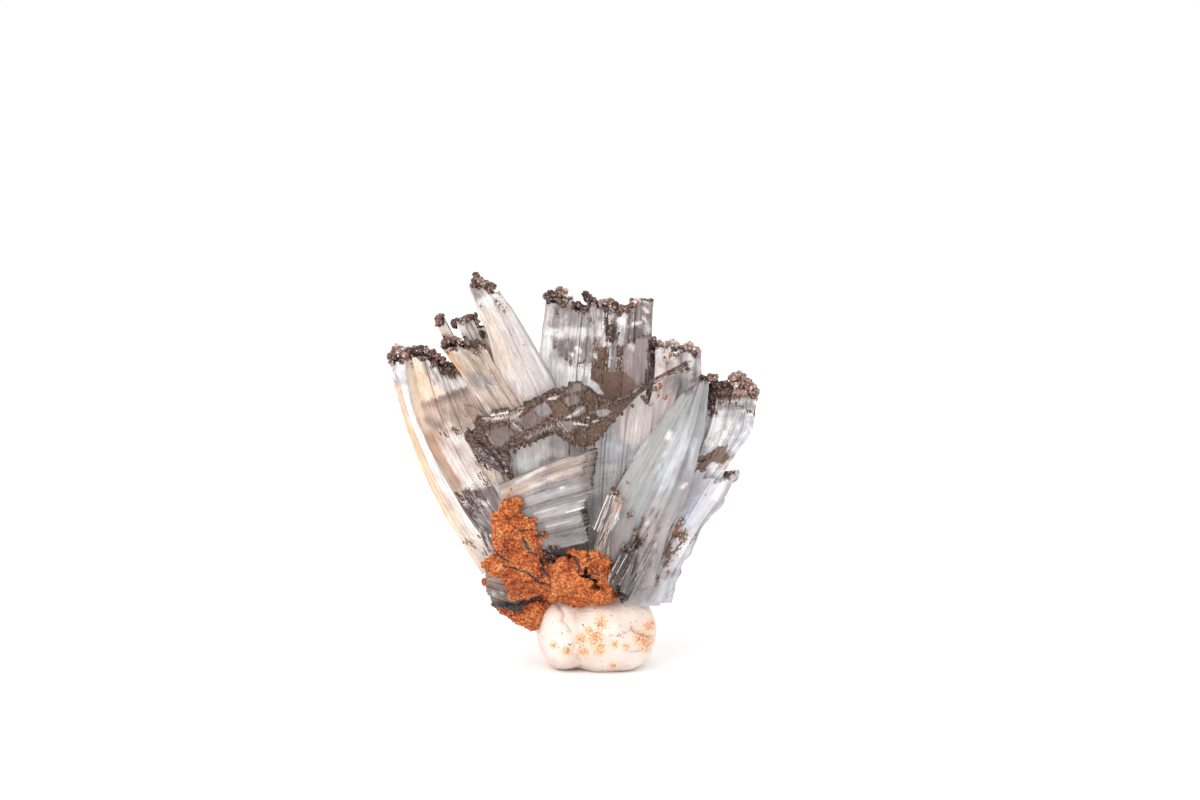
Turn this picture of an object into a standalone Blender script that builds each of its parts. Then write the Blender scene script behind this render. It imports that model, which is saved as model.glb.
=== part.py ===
"""A barite spray: bladed crystals that fan up from a rust-coloured iron oxide crust,
standing on a pressed lump of mineral putty.

Frame: +Z up, the spray's broad face towards -Y, origin at the middle of the putty's foot.
Points below are (x, z) in millimetres on the broad face, depths are y in millimetres;
the finished meshes are in metres.
"""

import math
import random

import bmesh
import bpy
from mathutils import Matrix, Vector, noise

MM = 0.001
SPRAY_TOP = 58.0  # height of the tallest crystal's tip above the table
GAP = 0.3  # clearance between solids that touch
LAP = 0.22  # how far neighbouring columns of one crystal reach into each other
BEVEL = 0.32  # bevel on a column's long edges, as a share of its width
WIDEST_BEVEL = 0.8
FACE_STEP = 0.4  # how far one column's broad face may stand before or behind the next
TIP_STEP = 0.25  # and its tip above or below the next, besides its own "tops" value

PUTTY_FOOT = 6.4  # radius of the flat that the putty stands on
PUTTY_LOBES = {
    # centre x, y, z, half sizes, lean in degrees: the folded lobe and the rolled body
    "fold": ((-4.9, -0.2, 5.3), (4.2, 7.8, 5.5), 10.0),
    "roll": ((1.7, 0.0, 4.8), (7.1, 8.2, 5.5), 4.0),
}


class Bundle:
    """Parallel crystal columns between a left and a right edge, each given foot to tip.

    across=True swaps the sense: the two lines are then the row of feet and the row of tips,
    and the columns stand side by side between them, as in a palisade.
    front and back are (y at the foot, y at the tip); tops lengthen or cut each column;
    crust is the radius of the oxide lump on each column's tip, 0 for a bare tip;
    thin is how much closer to its middle an outermost column's front and back stand.
    """

    def __init__(self, first, last, front, back, tops, crust=(), across=False, thin=0.0, seed=1):
        self.first, self.last = first, last
        self.front, self.back = front, back
        self.tops, self.crust, self.thin = tops, crust, thin
        self.across, self.seed = across, seed


CRYSTALS = {
    "left_blade": [
        Bundle(
            [(-17.4, 13.8), (-22.7, 22.6), (-26.9, 31.7), (-29.7, 40.3), (-31.2, 46.2)],
            [(-13.4, 16.0), (-17.9, 22.0), (-22.9, 31.0), (-25.6, 39.0), (-27.9, 46.3)],
            front=(-2.4, -3.6), back=(2.0, 0.8), tops=(0.0, 0.5), crust=(1.1, 1.3), seed=3,
        ),
    ],
    "left_sheaf": [
        Bundle(
            [(-12.6, 16.8), (-18.8, 24.0), (-24.8, 35.8), (-28.2, 46.6)],
            [(-6.0, 16.8), (-9.4, 24.0), (-15.2, 35.6), (-20.2, 45.4)],
            front=(-1.9, -0.6), back=(4.4, 6.4), tops=(0.9, 0.5, 0.7, -0.4, -0.2),
            crust=(0.9, 0.8, 1.0, 0.9, 0.8), thin=0.8, seed=5,
        ),
    ],
    "step_prisms": [
        Bundle(
            [(-13.0, 33.0), (-18.8, 42.2), (-23.1, 48.4)],
            [(-8.0, 33.0), (-13.4, 41.2), (-17.3, 48.6)],
            front=(-3.6, -4.2), back=(0.2, -0.4), tops=(0.1, 0.3, 0.0, 0.2),
            crust=(0.8, 0.7, 0.0, 0.9), seed=7,
        ),
        Bundle(
            [(-17.6, 40.0), (-21.6, 46.6), (-24.4, 52.6)],
            [(-14.8, 40.0), (-19.4, 46.6), (-22.9, 53.0)],
            front=(-1.4, -2.0), back=(1.8, 1.2), tops=(0.1,), crust=(0.8,), seed=9,
        ),
        Bundle(
            [(-14.0, 38.0), (-18.4, 46.4), (-21.3, 52.4)],
            [(-9.0, 38.0), (-13.7, 46.4), (-17.0, 53.2)],
            front=(-1.4, -1.6), back=(2.6, 2.6), tops=(0.0, 0.2, -1.8), crust=(0.8, 0.9, 0.7), seed=11,
        ),
    ],
    "tall_prism": [
        Bundle(
            [(-12.4, 33.0), (-14.0, 39.8), (-16.4, 50.3), (-18.7, SPRAY_TOP)],
            [(-1.5, 33.0), (-6.4, 43.0), (-11.8, 52.5), (-14.8, SPRAY_TOP - 1.0)],
            front=(-2.6, -3.4), back=(3.2, 1.4), tops=(0.2, 0.3, -0.6), crust=(1.2, 1.6, 0.9), seed=13,
        ),
    ],
    "top_block": [
        Bundle(
            [(-9.4, 32.0), (-8.9, 45.0), (-7.8, 54.8)],
            [(6.0, 32.0), (7.8, 43.0), (8.5, 53.2)],
            front=(-0.6, 0.4), back=(6.2, 8.8), tops=(0.3, 0.9, -0.7, 0.6, 0.0, -0.5, -0.2, 0.4),
            crust=(1.1, 1.3, 0.8, 0.7, 0.9, 0.8, 0.6, 0.8), thin=1.0, seed=17,
        ),
        Bundle(
            [(0.3, 32.0), (1.6, 39.0), (2.8, 46.8)],
            [(6.2, 32.0), (7.5, 39.0), (7.9, 46.8)],
            front=(-2.4, -2.0), back=(0.8, 1.4), tops=(-0.4, 0.4, 1.4), seed=19,
        ),
    ],
    "upper_right_block": [
        Bundle(
            [(3.6, 28.0), (7.9, 41.0), (8.6, 48.3)],
            [(9.8, 28.0), (15.2, 41.0), (15.6, 47.2)],
            front=(-2.4, -1.2), back=(3.6, 5.4), tops=(0.2, 0.7, 0.3, 0.6),
            crust=(0.7, 0.9, 0.8, 0.6), seed=23,
        ),
    ],
    "right_block": [
        Bundle(
            [(8.0, 22.0), (12.4, 30.5), (14.7, 37.0), (15.8, 42.4)],
            [(15.8, 24.2), (20.4, 31.4), (23.2, 35.8), (24.1, 41.4)],
            front=(-2.6, -4.2), back=(4.0, 2.6), tops=(0.2, 0.4, 0.9, 0.4),
            crust=(1.1, 1.2, 1.5, 1.2), thin=1.2, seed=29,
        ),
    ],
    "lower_right_sheaf": [
        Bundle(
            [(2.6, 9.0), (6.4, 15.5), (9.6, 22.0), (13.6, 30.2)],
            [(10.7, 9.4), (13.6, 15.8), (16.4, 22.0), (20.2, 29.0)],
            front=(-4.2, -3.0), back=(5.0, 5.6), tops=(0.0, 0.3, -0.4, -0.8, 0.2), thin=2.6, seed=31,
        ),
    ],
    "front_blade": [
        Bundle(
            [(2.6, 12.0), (0.6, 20.5), (2.7, 27.0), (8.6, 36.2), (13.2, 42.2)],
            [(8.6, 12.4), (12.0, 20.5), (14.4, 27.0), (15.8, 35.0), (16.6, 42.9)],
            front=(-6.2, -6.0), back=(-3.2, -3.3), tops=(-0.9, -0.2, 0.3, 0.6, 0.4), thin=0.4, seed=37,
        ),
    ],
    "front_fan": [
        Bundle(
            [(-14.6, 27.6), (-7.2, 30.9), (0.1, 33.2)],
            [(-12.0, 17.4), (-6.4, 18.0), (-1.2, 19.2)],
            front=(-6.4, -7.2), back=(-3.8, -4.2), tops=(0.1, -0.2, 0.1, -1.0, -0.5, -0.2), seed=41,
        ),
    ],
    "small_prisms": [
        Bundle(
            [(-1.8, 13.6), (-0.9, 21.6), (1.7, 27.4)],
            [(1.2, 13.2), (1.9, 20.6), (4.3, 26.8)],
            front=(-7.2, -7.6), back=(-5.0, -5.6), tops=(-1.2, 0.3, -0.4), seed=43,
        ),
        Bundle(
            [(-0.6, 12.6), (3.5, 19.9)],
            [(3.2, 10.8), (6.0, 18.9)],
            front=(-8.0, -8.4), back=(-6.0, -6.4), tops=(0.2, -0.8, 0.5, -0.4), seed=45,
        ),
    ],
    "centre_sheaf": [
        Bundle(
            [(-10.0, 12.0), (-13.2, 22.0), (-15.8, 30.0), (-17.0, 37.0)],
            [(5.4, 10.5), (6.0, 20.0), (6.6, 30.0), (7.4, 38.6)],
            front=(-3.4, -2.8), back=(4.2, 3.4), tops=(0.0, 0.6, 1.0, 0.6, 0.2, 0.0), seed=47,
        ),
        Bundle(
            [(-8.0, 12.0), (-11.0, 22.0), (-13.6, 33.4)],
            [(5.2, 10.5), (8.6, 20.0), (12.4, 31.4)],
            front=(2.6, 2.6), back=(6.0, 10.6), tops=(-2.4, 1.2, 4.6, 3.0, 5.2, 1.4, -3.0),
            crust=(0.8, 0.9, 0.7, 0.0, 0.9, 0.8, 0.0), thin=1.4, seed=50,
        ),
    ],
    "brown_band": [
        Bundle(
            [(-19.2, 33.2), (-14.6, 31.2), (-9.0, 33.8), (-3.6, 33.9), (1.4, 36.4), (6.6, 41.2), (13.4, 44.4)],
            [(-18.4, 37.6), (-14.4, 38.8), (-8.8, 41.0), (-2.4, 43.2), (2.6, 41.4), (7.0, 43.2), (13.2, 45.9)],
            front=(-5.6, -5.3), back=(-2.6, -2.4),
            tops=(-0.6, 0.4, -0.3, 0.6, 0.1, -0.5, 0.7, 0.0, 0.6, -0.5, 0.1, 0.4), across=True, seed=53,
        ),
    ],
    "dark_base_crystals": [
        Bundle(
            [(-8.0, 7.4), (-12.0, 8.2), (-16.2, 9.8)],
            [(-7.0, 12.4), (-10.8, 13.6), (-15.4, 14.2)],
            front=(-4.6, -4.0), back=(2.2, 1.6), tops=(0.2, -0.5, 0.4), seed=59,
        ),
    ],
}

GROWN_FIRST_TO_LAST = [
    "front_blade", "front_fan", "small_prisms", "brown_band", "step_prisms", "tall_prism",
    "left_sheaf", "left_blade", "upper_right_block", "top_block", "right_block",
    "lower_right_sheaf", "centre_sheaf", "dark_base_crystals",
]

# Flakes of the oxide crust: outline on the broad face, then y of its back, rim and middle.
FLAKES = [
    (
        [(-13.8, 25.3), (-11.3, 24.8), (-9.1, 22.8), (-8.6, 21.0), (-7.5, 18.4), (-8.4, 16.0),
         (-11.6, 14.6), (-14.6, 16.2), (-15.5, 19.0), (-15.4, 22.7)],
        (-5.2, -7.3, -8.0),
    ),
    (
        [(-17.4, 15.6), (-15.4, 17.6), (-12.3, 17.0), (-8.6, 16.6), (-6.2, 14.3), (-7.2, 11.6),
         (-9.3, 10.9), (-13.0, 10.3), (-14.2, 13.6), (-16.8, 14.8)],
        (-4.4, -7.8, -8.8),
    ),
    (
        [(-7.2, 15.9), (-5.3, 17.0), (-2.6, 15.8), (-0.8, 14.0), (1.2, 12.6), (3.5, 10.6), (1.2, 9.7),
         (-3.9, 9.9), (-7.2, 10.2), (-8.4, 12.6)],
        (-4.0, -7.4, -8.4),
    ),
    (
        [(-4.4, 17.9), (-0.5, 17.5), (0.6, 18.2), (1.8, 17.2), (2.3, 14.9), (1.4, 14.0), (-0.9, 13.2),
         (-3.2, 15.0)],
        (-4.6, -7.4, -8.0),
    ),
    (
        [(-16.0, 9.7), (-13.0, 7.2), (-9.6, 5.6), (-8.4, 7.4), (-6.8, 9.9), (-9.6, 11.3), (-12.2, 9.6)],
        (-1.0, -5.8, -6.6),
    ),
]
# The oxide body behind and under the flakes: centre x, y, z, half sizes, facet level.
OXIDE_BODY = [
    ((-8.5, -1.2, 13.6), (6.6, 5.4, 5.6), 3),
    ((-2.4, -0.6, 11.6), (6.4, 5.8, 4.4), 2),
    ((-5.5, 4.6, 14.2), (5.8, 4.4, 6.0), 3),
    ((2.6, 1.6, 11.2), (4.4, 4.6, 3.6), 2),
]
OXIDE_ROUGHNESS = 0.9  # how far a lump's surface strays from its ellipsoid


def clear_scene():
    for existing in list(bpy.data.objects):
        bpy.data.objects.remove(existing)


def principled(name, colour, roughness, see_through=0.0, ior=1.5):
    """A Principled material; see_through is its transmission weight."""
    material = bpy.data.materials.new(name)
    material.use_nodes = True
    shader = material.node_tree.nodes["Principled BSDF"]
    shader.inputs["Base Color"].default_value = (*colour, 1.0)
    shader.inputs["Roughness"].default_value = roughness
    shader.inputs["Metallic"].default_value = 0.0
    shader.inputs["Transmission Weight"].default_value = see_through
    shader.inputs["IOR"].default_value = ior
    return material


def blend(a, b, share):
    return tuple(p + (q - p) * share for p, q in zip(a, b))


def lift(point, depth):
    """The 3-D place of a face point (x, z) at a depth y."""
    return Vector((point[0], depth, point[1]))


# ---------------------------------------------------------------- meshes


def helper(mesh):
    """An object that only takes part in Booleans."""
    made = bpy.data.objects.new("helper", mesh)
    bpy.context.scene.collection.objects.link(made)
    made.hide_render = True
    made.display_type = "WIRE"
    return made


def mesh_from(bm):
    bmesh.ops.recalc_face_normals(bm, faces=bm.faces)
    mesh = bpy.data.meshes.new("solid")
    bm.to_mesh(mesh)
    bm.free()
    return mesh


def lofted(rings):
    """A closed mesh through rings of equally many points, capped at both ends."""
    bm = bmesh.new()
    rows = [[bm.verts.new(point) for point in ring] for ring in rings]
    count = len(rows[0])
    for low, high in zip(rows, rows[1:]):
        for k in range(count):
            after = (k + 1) % count
            bm.faces.new((low[k], low[after], high[after], high[k]))
    bm.faces.new(rows[0])
    bm.faces.new(rows[-1])
    bmesh.ops.triangulate(bm, faces=[f for f in bm.faces if len(f.verts) > 4])
    return mesh_from(bm)


def ellipsoid(centre, half_sizes, subdivisions, stray=0.0, grow=0.0, seed=0):
    """A faceted lump: an icosphere scaled to half_sizes, its surface pushed about by noise."""
    bm = bmesh.new()
    bmesh.ops.create_icosphere(bm, subdivisions=subdivisions, radius=1.0)
    sizes = Vector(half_sizes)
    for vert in bm.verts:
        out = vert.co.normalized()
        reach = 1.0 + stray * noise.noise(out * 1.7 + Vector((seed * 3.1, 0.0, 0.0))) / min(half_sizes)
        vert.co = Vector(centre) + Vector(s * o for s, o in zip(sizes, out)) * reach + out * grow
    return mesh_from(bm)


def from_objects(target, others, operation):
    """The Boolean of a helper with other helpers, as a new mesh. The helpers are used up."""
    cutters = bpy.data.collections.new("cutters")
    for other in others:
        cutters.objects.link(other)
    modifier = target.modifiers.new("joined", "BOOLEAN")
    modifier.operation = operation
    modifier.solver = "EXACT"
    modifier.operand_type = "COLLECTION"
    modifier.collection = cutters
    bpy.context.view_layer.update()
    graph = bpy.context.evaluated_depsgraph_get()
    mesh = bpy.data.meshes.new_from_object(target.evaluated_get(graph))
    for used in [target, *others]:
        bpy.data.objects.remove(used)
    bpy.data.collections.remove(cutters)
    return mesh


def union(meshes):
    if len(meshes) == 1:
        return meshes[0]
    objects = [helper(mesh) for mesh in meshes]
    return from_objects(objects[0], objects[1:], "UNION")


def cut(mesh, cutters):
    if not cutters:
        return mesh
    return from_objects(helper(mesh), [helper(c.copy()) for c in cutters], "DIFFERENCE")


def largest_body(mesh):
    """The mesh with only its largest closed body kept: cutting leaves chips of the others."""
    bm = bmesh.new()
    bm.from_mesh(mesh)
    bmesh.ops.dissolve_limit(bm, angle_limit=math.radians(0.3), verts=bm.verts, edges=bm.edges)
    bmesh.ops.triangulate(bm, faces=bm.faces)
    bodies, unseen = [], set(bm.faces)
    while unseen:
        body, todo = set(), [unseen.pop()]
        while todo:
            face = todo.pop()
            body.add(face)
            for edge in face.edges:
                for near in edge.link_faces:
                    if near in unseen:
                        unseen.discard(near)
                        todo.append(near)
        bodies.append(body)
    kept = max(bodies, key=lambda body: abs(signed_volume(body)))
    strays = [face for face in bm.faces if face not in kept]
    bmesh.ops.delete(bm, geom=strays, context="FACES")
    return mesh_from(bm)


def signed_volume(faces):
    return sum(f.verts[0].co.dot(f.verts[1].co.cross(f.verts[2].co)) for f in faces) / 6


# ---------------------------------------------------------------- crystals


def along(line, share):
    """The point that far along a polyline, by segment count, between 0 and 1."""
    place = share * (len(line) - 1)
    index = min(int(place), len(line) - 2)
    return blend(line[index], line[index + 1], place - index)


def shares_of(bundle, chance):
    """Where the columns meet, as shares across the bundle: uneven, as natural blades are."""
    widths = [chance.uniform(0.7, 1.3) for _ in bundle.tops]
    total = sum(widths)
    edges = [0.0]
    for width in widths:
        edges.append(edges[-1] + width / total)
    return edges


def edge_at(bundle, share):
    """The line from foot to tip at a share of the way across the bundle."""
    if bundle.across:
        return [along(bundle.first, share), along(bundle.last, share)]
    return [blend(a, b, share) for a, b in zip(bundle.first, bundle.last)]


def stretched(line, by):
    """The line with its tip moved on along its last stretch."""
    tip, before = Vector(line[-1]), Vector(line[-2])
    return [*line[:-1], tuple(tip + (tip - before).normalized() * by)]


def column_mesh(left, right, front, back):
    """One crystal column: a blade with bevelled long edges, lofted from foot to tip."""
    rings = []
    last = len(left) - 1
    for k, (a, b) in enumerate(zip(left, right)):
        near = front[0] + (front[1] - front[0]) * k / last
        far = back[0] + (back[1] - back[0]) * k / last
        side = Vector(b) - Vector(a)
        bevel = min(BEVEL * side.length, WIDEST_BEVEL)
        side = side.normalized() * bevel
        rings.append(
            [
                lift(a, near + bevel * 0.8),
                lift(Vector(a) + side, near),
                lift(Vector(b) - side, near),
                lift(b, near + bevel * 0.8),
                lift(b, far - bevel * 0.8),
                lift(Vector(b) - side, far),
                lift(Vector(a) + side, far),
                lift(a, far - bevel * 0.8),
            ]
        )
    return lofted(rings)


def crystal(bundles):
    """Every column of the bundles and the oxide lumps on their tips, as one solid."""
    meshes = []
    for bundle in bundles:
        chance = random.Random(bundle.seed)
        edges = shares_of(bundle, chance)
        for index, top in enumerate(bundle.tops):
            left = stretched(edge_at(bundle, edges[index]), top + chance.uniform(-TIP_STEP, TIP_STEP))
            right = stretched(edge_at(bundle, edges[index + 1]), top + chance.uniform(-TIP_STEP, TIP_STEP))
            lap = (Vector(right[-1]) - Vector(left[-1])).normalized() * LAP
            left = [tuple(Vector(p) - lap) if index else p for p in left]
            right = [tuple(Vector(p) + lap) if index < len(bundle.tops) - 1 else p for p in right]
            inset = bundle.thin * (edges[index] + edges[index + 1] - 1.0) ** 2
            step = inset + chance.uniform(-FACE_STEP, FACE_STEP)
            front = tuple(y + step for y in bundle.front)
            step = inset + chance.uniform(-FACE_STEP, FACE_STEP)
            back = tuple(y - step for y in bundle.back)
            meshes.append(column_mesh(left, right, front, back))
        meshes += crusts_of(bundle)
    return union(meshes)


def crusts_of(bundle, grow=0.0):
    """The oxide lump on each column's tip; the large ones have more facets."""
    chance = random.Random(bundle.seed)
    edges = shares_of(bundle, chance)
    lumps = []
    for index, radius in enumerate(bundle.crust):
        if not radius:
            continue
        line = stretched(edge_at(bundle, (edges[index] + edges[index + 1]) / 2), bundle.tops[index])
        depth = (bundle.front[1] + bundle.back[1]) / 2
        sizes = (radius * 1.15, max((bundle.back[1] - bundle.front[1]) * 0.46, radius), radius)
        facets = 2 if radius > 1.25 and not grow else 1
        lumps.append(ellipsoid(lift(line[-1], depth), sizes, facets, 0.5, grow, bundle.seed + index))
    return lumps


def envelope(bundle):
    """A plain solid a gap larger than the whole bundle all round, to cut its neighbours with."""
    tallest, count = max(bundle.tops) + TIP_STEP + GAP, 7 if bundle.across else len(bundle.first)
    edges = [0.0, 1.0]
    if bundle.across:
        edges = [k / (count - 1) for k in range(count)]
    lines = [stretched(edge_at(bundle, share)[::-1], GAP)[::-1] for share in edges]
    lines = [stretched(line, tallest) for line in lines]
    out = [(Vector(q) - Vector(p)).normalized() * GAP for p, q in zip(lines[0], lines[-1])]
    lines[0] = [tuple(Vector(p) - o) for p, o in zip(lines[0], out)]
    lines[-1] = [tuple(Vector(p) + o) for p, o in zip(lines[-1], out)]
    near = [y - FACE_STEP - GAP for y in bundle.front]
    far = [y + FACE_STEP + GAP for y in bundle.back]
    if bundle.across:
        rings = [
            [lift(foot, near[0]), lift(tip, near[1]), lift(tip, far[1]), lift(foot, far[0])]
            for foot, tip in lines
        ]
    else:
        rings = []
        for k, (a, b) in enumerate(zip(*lines)):
            share = k / (count - 1)
            fore, aft = (p + (q - p) * share for p, q in (near, far))
            rings.append([lift(a, fore), lift(b, fore), lift(b, aft), lift(a, aft)])
    return lofted(rings)


def cutters_for(bundles):
    """What a finished crystal takes out of the ones that grow against it."""
    shells = [envelope(bundle) for bundle in bundles]
    return union(shells + [m for bundle in bundles for m in crusts_of(bundle, grow=GAP + 0.2)])


# ---------------------------------------------------------------- oxide and putty


def flake_mesh(outline, depths, grow=0.0):
    """A plate of crust with this outline, a bevelled rim and a crowned, chipped middle."""
    back, rim, middle = depths
    centre = sum((Vector(p) for p in outline), Vector((0.0, 0.0))) / len(outline)

    def ring(scale, depth, stray):
        points = []
        for k, point in enumerate(outline):
            offset = Vector(point) - centre
            place = centre + offset * scale + offset.normalized() * grow
            points.append(lift(place, depth + stray * math.sin(2.4 * k)))
        return points

    rings = [ring(0.92, back + grow, 0.0), ring(1.0, rim - grow, 0.15), ring(0.55, middle - grow, 0.35)]
    return lofted(rings)


def oxide(grow=0.0):
    lumps = [
        ellipsoid(centre, sizes, facets, OXIDE_ROUGHNESS, grow, seed=71 + k)
        for k, (centre, sizes, facets) in enumerate(OXIDE_BODY)
    ]
    return union(lumps + [flake_mesh(outline, depths, grow) for outline, depths in FLAKES])


def putty_lobe(centre, half_sizes, lean):
    """A rounded, slightly squared lump, as fingers press putty, leaning to the left."""
    squareness = 0.8
    bm = bmesh.new()
    bmesh.ops.create_uvsphere(bm, u_segments=18, v_segments=10, radius=1.0)
    turn = Matrix.Rotation(math.radians(-lean), 3, "Y")
    for vert in bm.verts:
        out = vert.co.normalized()
        place = Vector(s * math.copysign(abs(o) ** squareness, o) for s, o in zip(half_sizes, out))
        vert.co = Vector(centre) + turn @ place
    return mesh_from(bm)


def box_mesh(low, high):
    bm = bmesh.new()
    bmesh.ops.create_cube(bm, size=1.0)
    for vert in bm.verts:
        vert.co = Vector(a + (b - a) * (c + 0.5) for a, b, c in zip(low, high, vert.co))
    return mesh_from(bm)


def putty():
    lump = union([putty_lobe(*lobe) for lobe in PUTTY_LOBES.values()])
    table = box_mesh((-20, -20, -10), (20, 20, 0.0))
    return cut(lump, [table])


# ---------------------------------------------------------------- the spray


def add_part(name, mesh, material):
    """The finished node: largest body, in metres."""
    mesh = largest_body(mesh)
    mesh.name = name
    mesh.transform(Matrix.Scale(MM, 4))
    mesh.materials.clear()
    mesh.materials.append(material)
    part = bpy.data.objects.new(name, mesh)
    bpy.context.scene.collection.objects.link(part)
    return part


def main():
    clear_scene()
    clear_barite = principled("clear_barite", (0.86, 0.86, 0.88), 0.12, see_through=0.85, ior=1.64)
    grey_barite = principled("grey_barite", (0.62, 0.66, 0.68), 0.25, see_through=0.5, ior=1.64)
    stained_barite = principled("stained_barite", (0.30, 0.25, 0.23), 0.55, see_through=0.1, ior=1.64)
    iron_oxide = principled("iron_oxide", (0.55, 0.17, 0.04), 0.9)
    white_putty = principled("white_putty", (0.88, 0.80, 0.74), 0.6)
    finishes = {
        "front_blade": grey_barite,
        "front_fan": grey_barite,
        "centre_sheaf": grey_barite,
        "lower_right_sheaf": grey_barite,
        "brown_band": stained_barite,
        "dark_base_crystals": stained_barite,
    }

    # Each crystal grew against the ones before it, so it is cut back from them.
    grown = []
    for name in GROWN_FIRST_TO_LAST:
        bundles = CRYSTALS[name]
        mesh = cut(crystal(bundles), grown)
        add_part(name, mesh, finishes.get(name, clear_barite))
        grown.append(cutters_for(bundles))
    add_part("iron_oxide_crust", cut(oxide(), grown), iron_oxide)
    grown.append(oxide(grow=GAP))
    add_part("putty", cut(putty(), grown), white_putty)


main()
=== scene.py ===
import math
import random

import bmesh
import bpy
import numpy as np
from mathutils import Matrix, Vector


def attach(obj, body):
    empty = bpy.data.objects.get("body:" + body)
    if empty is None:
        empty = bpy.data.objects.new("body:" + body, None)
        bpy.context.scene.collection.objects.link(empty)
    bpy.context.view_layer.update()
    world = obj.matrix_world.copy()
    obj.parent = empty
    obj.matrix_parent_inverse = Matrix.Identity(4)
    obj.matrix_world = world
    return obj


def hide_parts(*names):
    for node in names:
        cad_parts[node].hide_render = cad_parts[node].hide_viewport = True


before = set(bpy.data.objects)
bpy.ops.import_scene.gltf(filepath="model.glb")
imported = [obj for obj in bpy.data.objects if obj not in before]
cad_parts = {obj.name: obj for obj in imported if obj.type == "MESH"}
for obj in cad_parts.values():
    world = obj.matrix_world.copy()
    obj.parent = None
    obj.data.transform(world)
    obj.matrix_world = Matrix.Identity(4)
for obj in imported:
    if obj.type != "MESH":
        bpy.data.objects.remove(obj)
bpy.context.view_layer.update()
mm = 0.001  # lengths are in mm until a mesh is made
pureWhite = (1.0, 1.0, 1.0)
print("frame loaded:", len(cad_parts), "solids")


palette = {  # colours as they look on the specimen, 0 to 255
    "clear": (250, 242, 238),
    # white is also the colour of the painted highlights and glints on several crystals
    "white": (255, 254, 253),
    "milk": (240, 232, 228),
    "veil": (226, 219, 217),
    "paleGrey": (212, 208, 208),
    "grey": (176, 170, 169),
    "steel": (150, 143, 144),
    "fanGrey": (145, 138, 135),
    "mauve": (147, 132, 131),
    "bandGrey": (120, 102, 99),
    "lobeWhite": (212, 211, 216),
    "lobeGrey": (192, 190, 196),
    "slate": (126, 113, 114),
    "sage": (172, 171, 169),
    "mist": (161, 162, 164),
    "frost": (224, 225, 230),
    "ice": (222, 226, 240),
    "lilacGrey": (172, 158, 158),
    "taupe": (158, 142, 136),
    "smoke": (128, 114, 110),
    "pinkish": (240, 224, 219),
    "shell": (220, 210, 206),
    "ivory": (255, 231, 206),
    "blush": (206, 180, 166),
    "umberVeil": (170, 140, 121),
    "cream": (250, 232, 214),
    "sand": (210, 187, 168),
    "peach": (252, 218, 188),
    "orange": (250, 200, 150),
    "amber": (226, 176, 134),
    "brown": (122, 95, 79),
    "umber": (76, 60, 52),
    "ink": (46, 40, 39),
    "rust": (208, 112, 64),
    "deepRust": (150, 74, 46),
    "brightRust": (238, 156, 98),
}
lens = {"aim": (0.00045, 0.0, 0.0405), "away": 0.5, "above": 8.0, "focal": 100.0}


def linear(colour):
    values = palette[colour] if isinstance(colour, str) else colour
    return tuple((v / 255 / 12.92) if v < 11 else ((v / 255 + 0.055) / 1.055) ** 2.4 for v in values)


def alongLine(points, share):  # a smooth line through the points, running straight on past its ends
    points = np.asarray(points, float)
    last = len(points) - 1
    inside = np.clip(share, 0, 1)
    place = inside * last
    k = np.minimum(place.astype(int), last - 1)
    f = (place - k)[..., None]
    padded = np.vstack([2 * points[0] - points[1], points, 2 * points[-1] - points[-2]])
    a, b, c, d = padded[k], padded[k + 1], padded[k + 2], padded[k + 3]
    curve = 0.5 * (2 * b + (c - a) * f + (2 * a - 5 * b + 4 * c - d) * f**2 + (3 * b - a - 3 * c + d) * f**3)
    past = (share - inside)[..., None]
    slope = np.where(past > 0, points[-1] - points[-2], points[1] - points[0]) * last
    return curve + past * slope


def cloudNoise(x, y, z, seed=0):  # smooth noise from -1 to 1
    cells, fades = [], []
    for value in (x, y, z):
        floor = np.floor(value)
        f = value - floor
        cells.append(floor.astype(np.int64))
        fades.append(f * f * (3 - 2 * f))
    total = 0
    for corner in range(8):
        dx, dy, dz = corner & 1, corner >> 1 & 1, corner >> 2 & 1
        h = (cells[0] + dx) * 374761393 + (cells[1] + dy) * 668265263 + (cells[2] + dz) * 974634777 + seed * 7919
        h = (h ^ (h >> 13)) * 1274126177 & 0x7FFFFFFF
        h = h ^ (h >> 16)
        weight = 1
        for fade, d in zip(fades, (dx, dy, dz)):
            weight = weight * (fade if d else 1 - fade)
        total = total + weight * ((h & 0xFFFF) / 0x7FFF - 1)
    return total


def layeredNoise(x, y, z, seed=0, layers=3):
    return sum(cloudNoise(x * 2**k, y * 2**k, z * 2**k, seed + k) / 2**k for k in range(layers))


def seen(x, y, z):  # where a point shows on the upright plane through the middle, from slightly above
    tilt = math.radians(lens["above"])
    across, up = lens["aim"][0] / mm, lens["aim"][2] / mm
    nearer = lens["away"] / mm / (lens["away"] / mm + math.cos(tilt) * y - math.sin(tilt) * (z - up))
    return across + (x - across) * nearer, up + (math.cos(tilt) * (z - up) + math.sin(tilt) * y) * nearer


def behind(x, z, y):  # the point at depth y that shows at (x, z)
    found = np.array([x, z], float)
    for _ in range(4):
        shown = seen(found[0], y, found[1])
        found += (x - shown[0], z - shown[1])
    return found


def line(colour, wide, *path, **more):  # a soft stroke along x, z, x, z ...
    return {"colour": colour, "wide": wide, "path": list(zip(path[::2], path[1::2])), **more}


def mark(colour, wide, *path, cap=2.2, **more):  # a crisp line that shows on a thick coat
    return line(colour, wide, *path, crisp=2, cap=cap, **more)


def spot(wide, *path, **more):  # a stroke with no shade of its own
    return line(None, wide, *path, **more)


def hole(wide, *path, **more):  # bare crystal inside a coat
    return spot(wide, *path, hole=True, **more)


def area(colour, *outline, **more):  # a soft patch inside an outline x, z, x, z ...
    return {"colour": colour, "outline": list(zip(outline[::2], outline[1::2])), **more}


def smooth(low, high, value):
    t = np.clip((value - low) / (high - low), 0, 1)
    return t * t * (3 - 2 * t)


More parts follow.
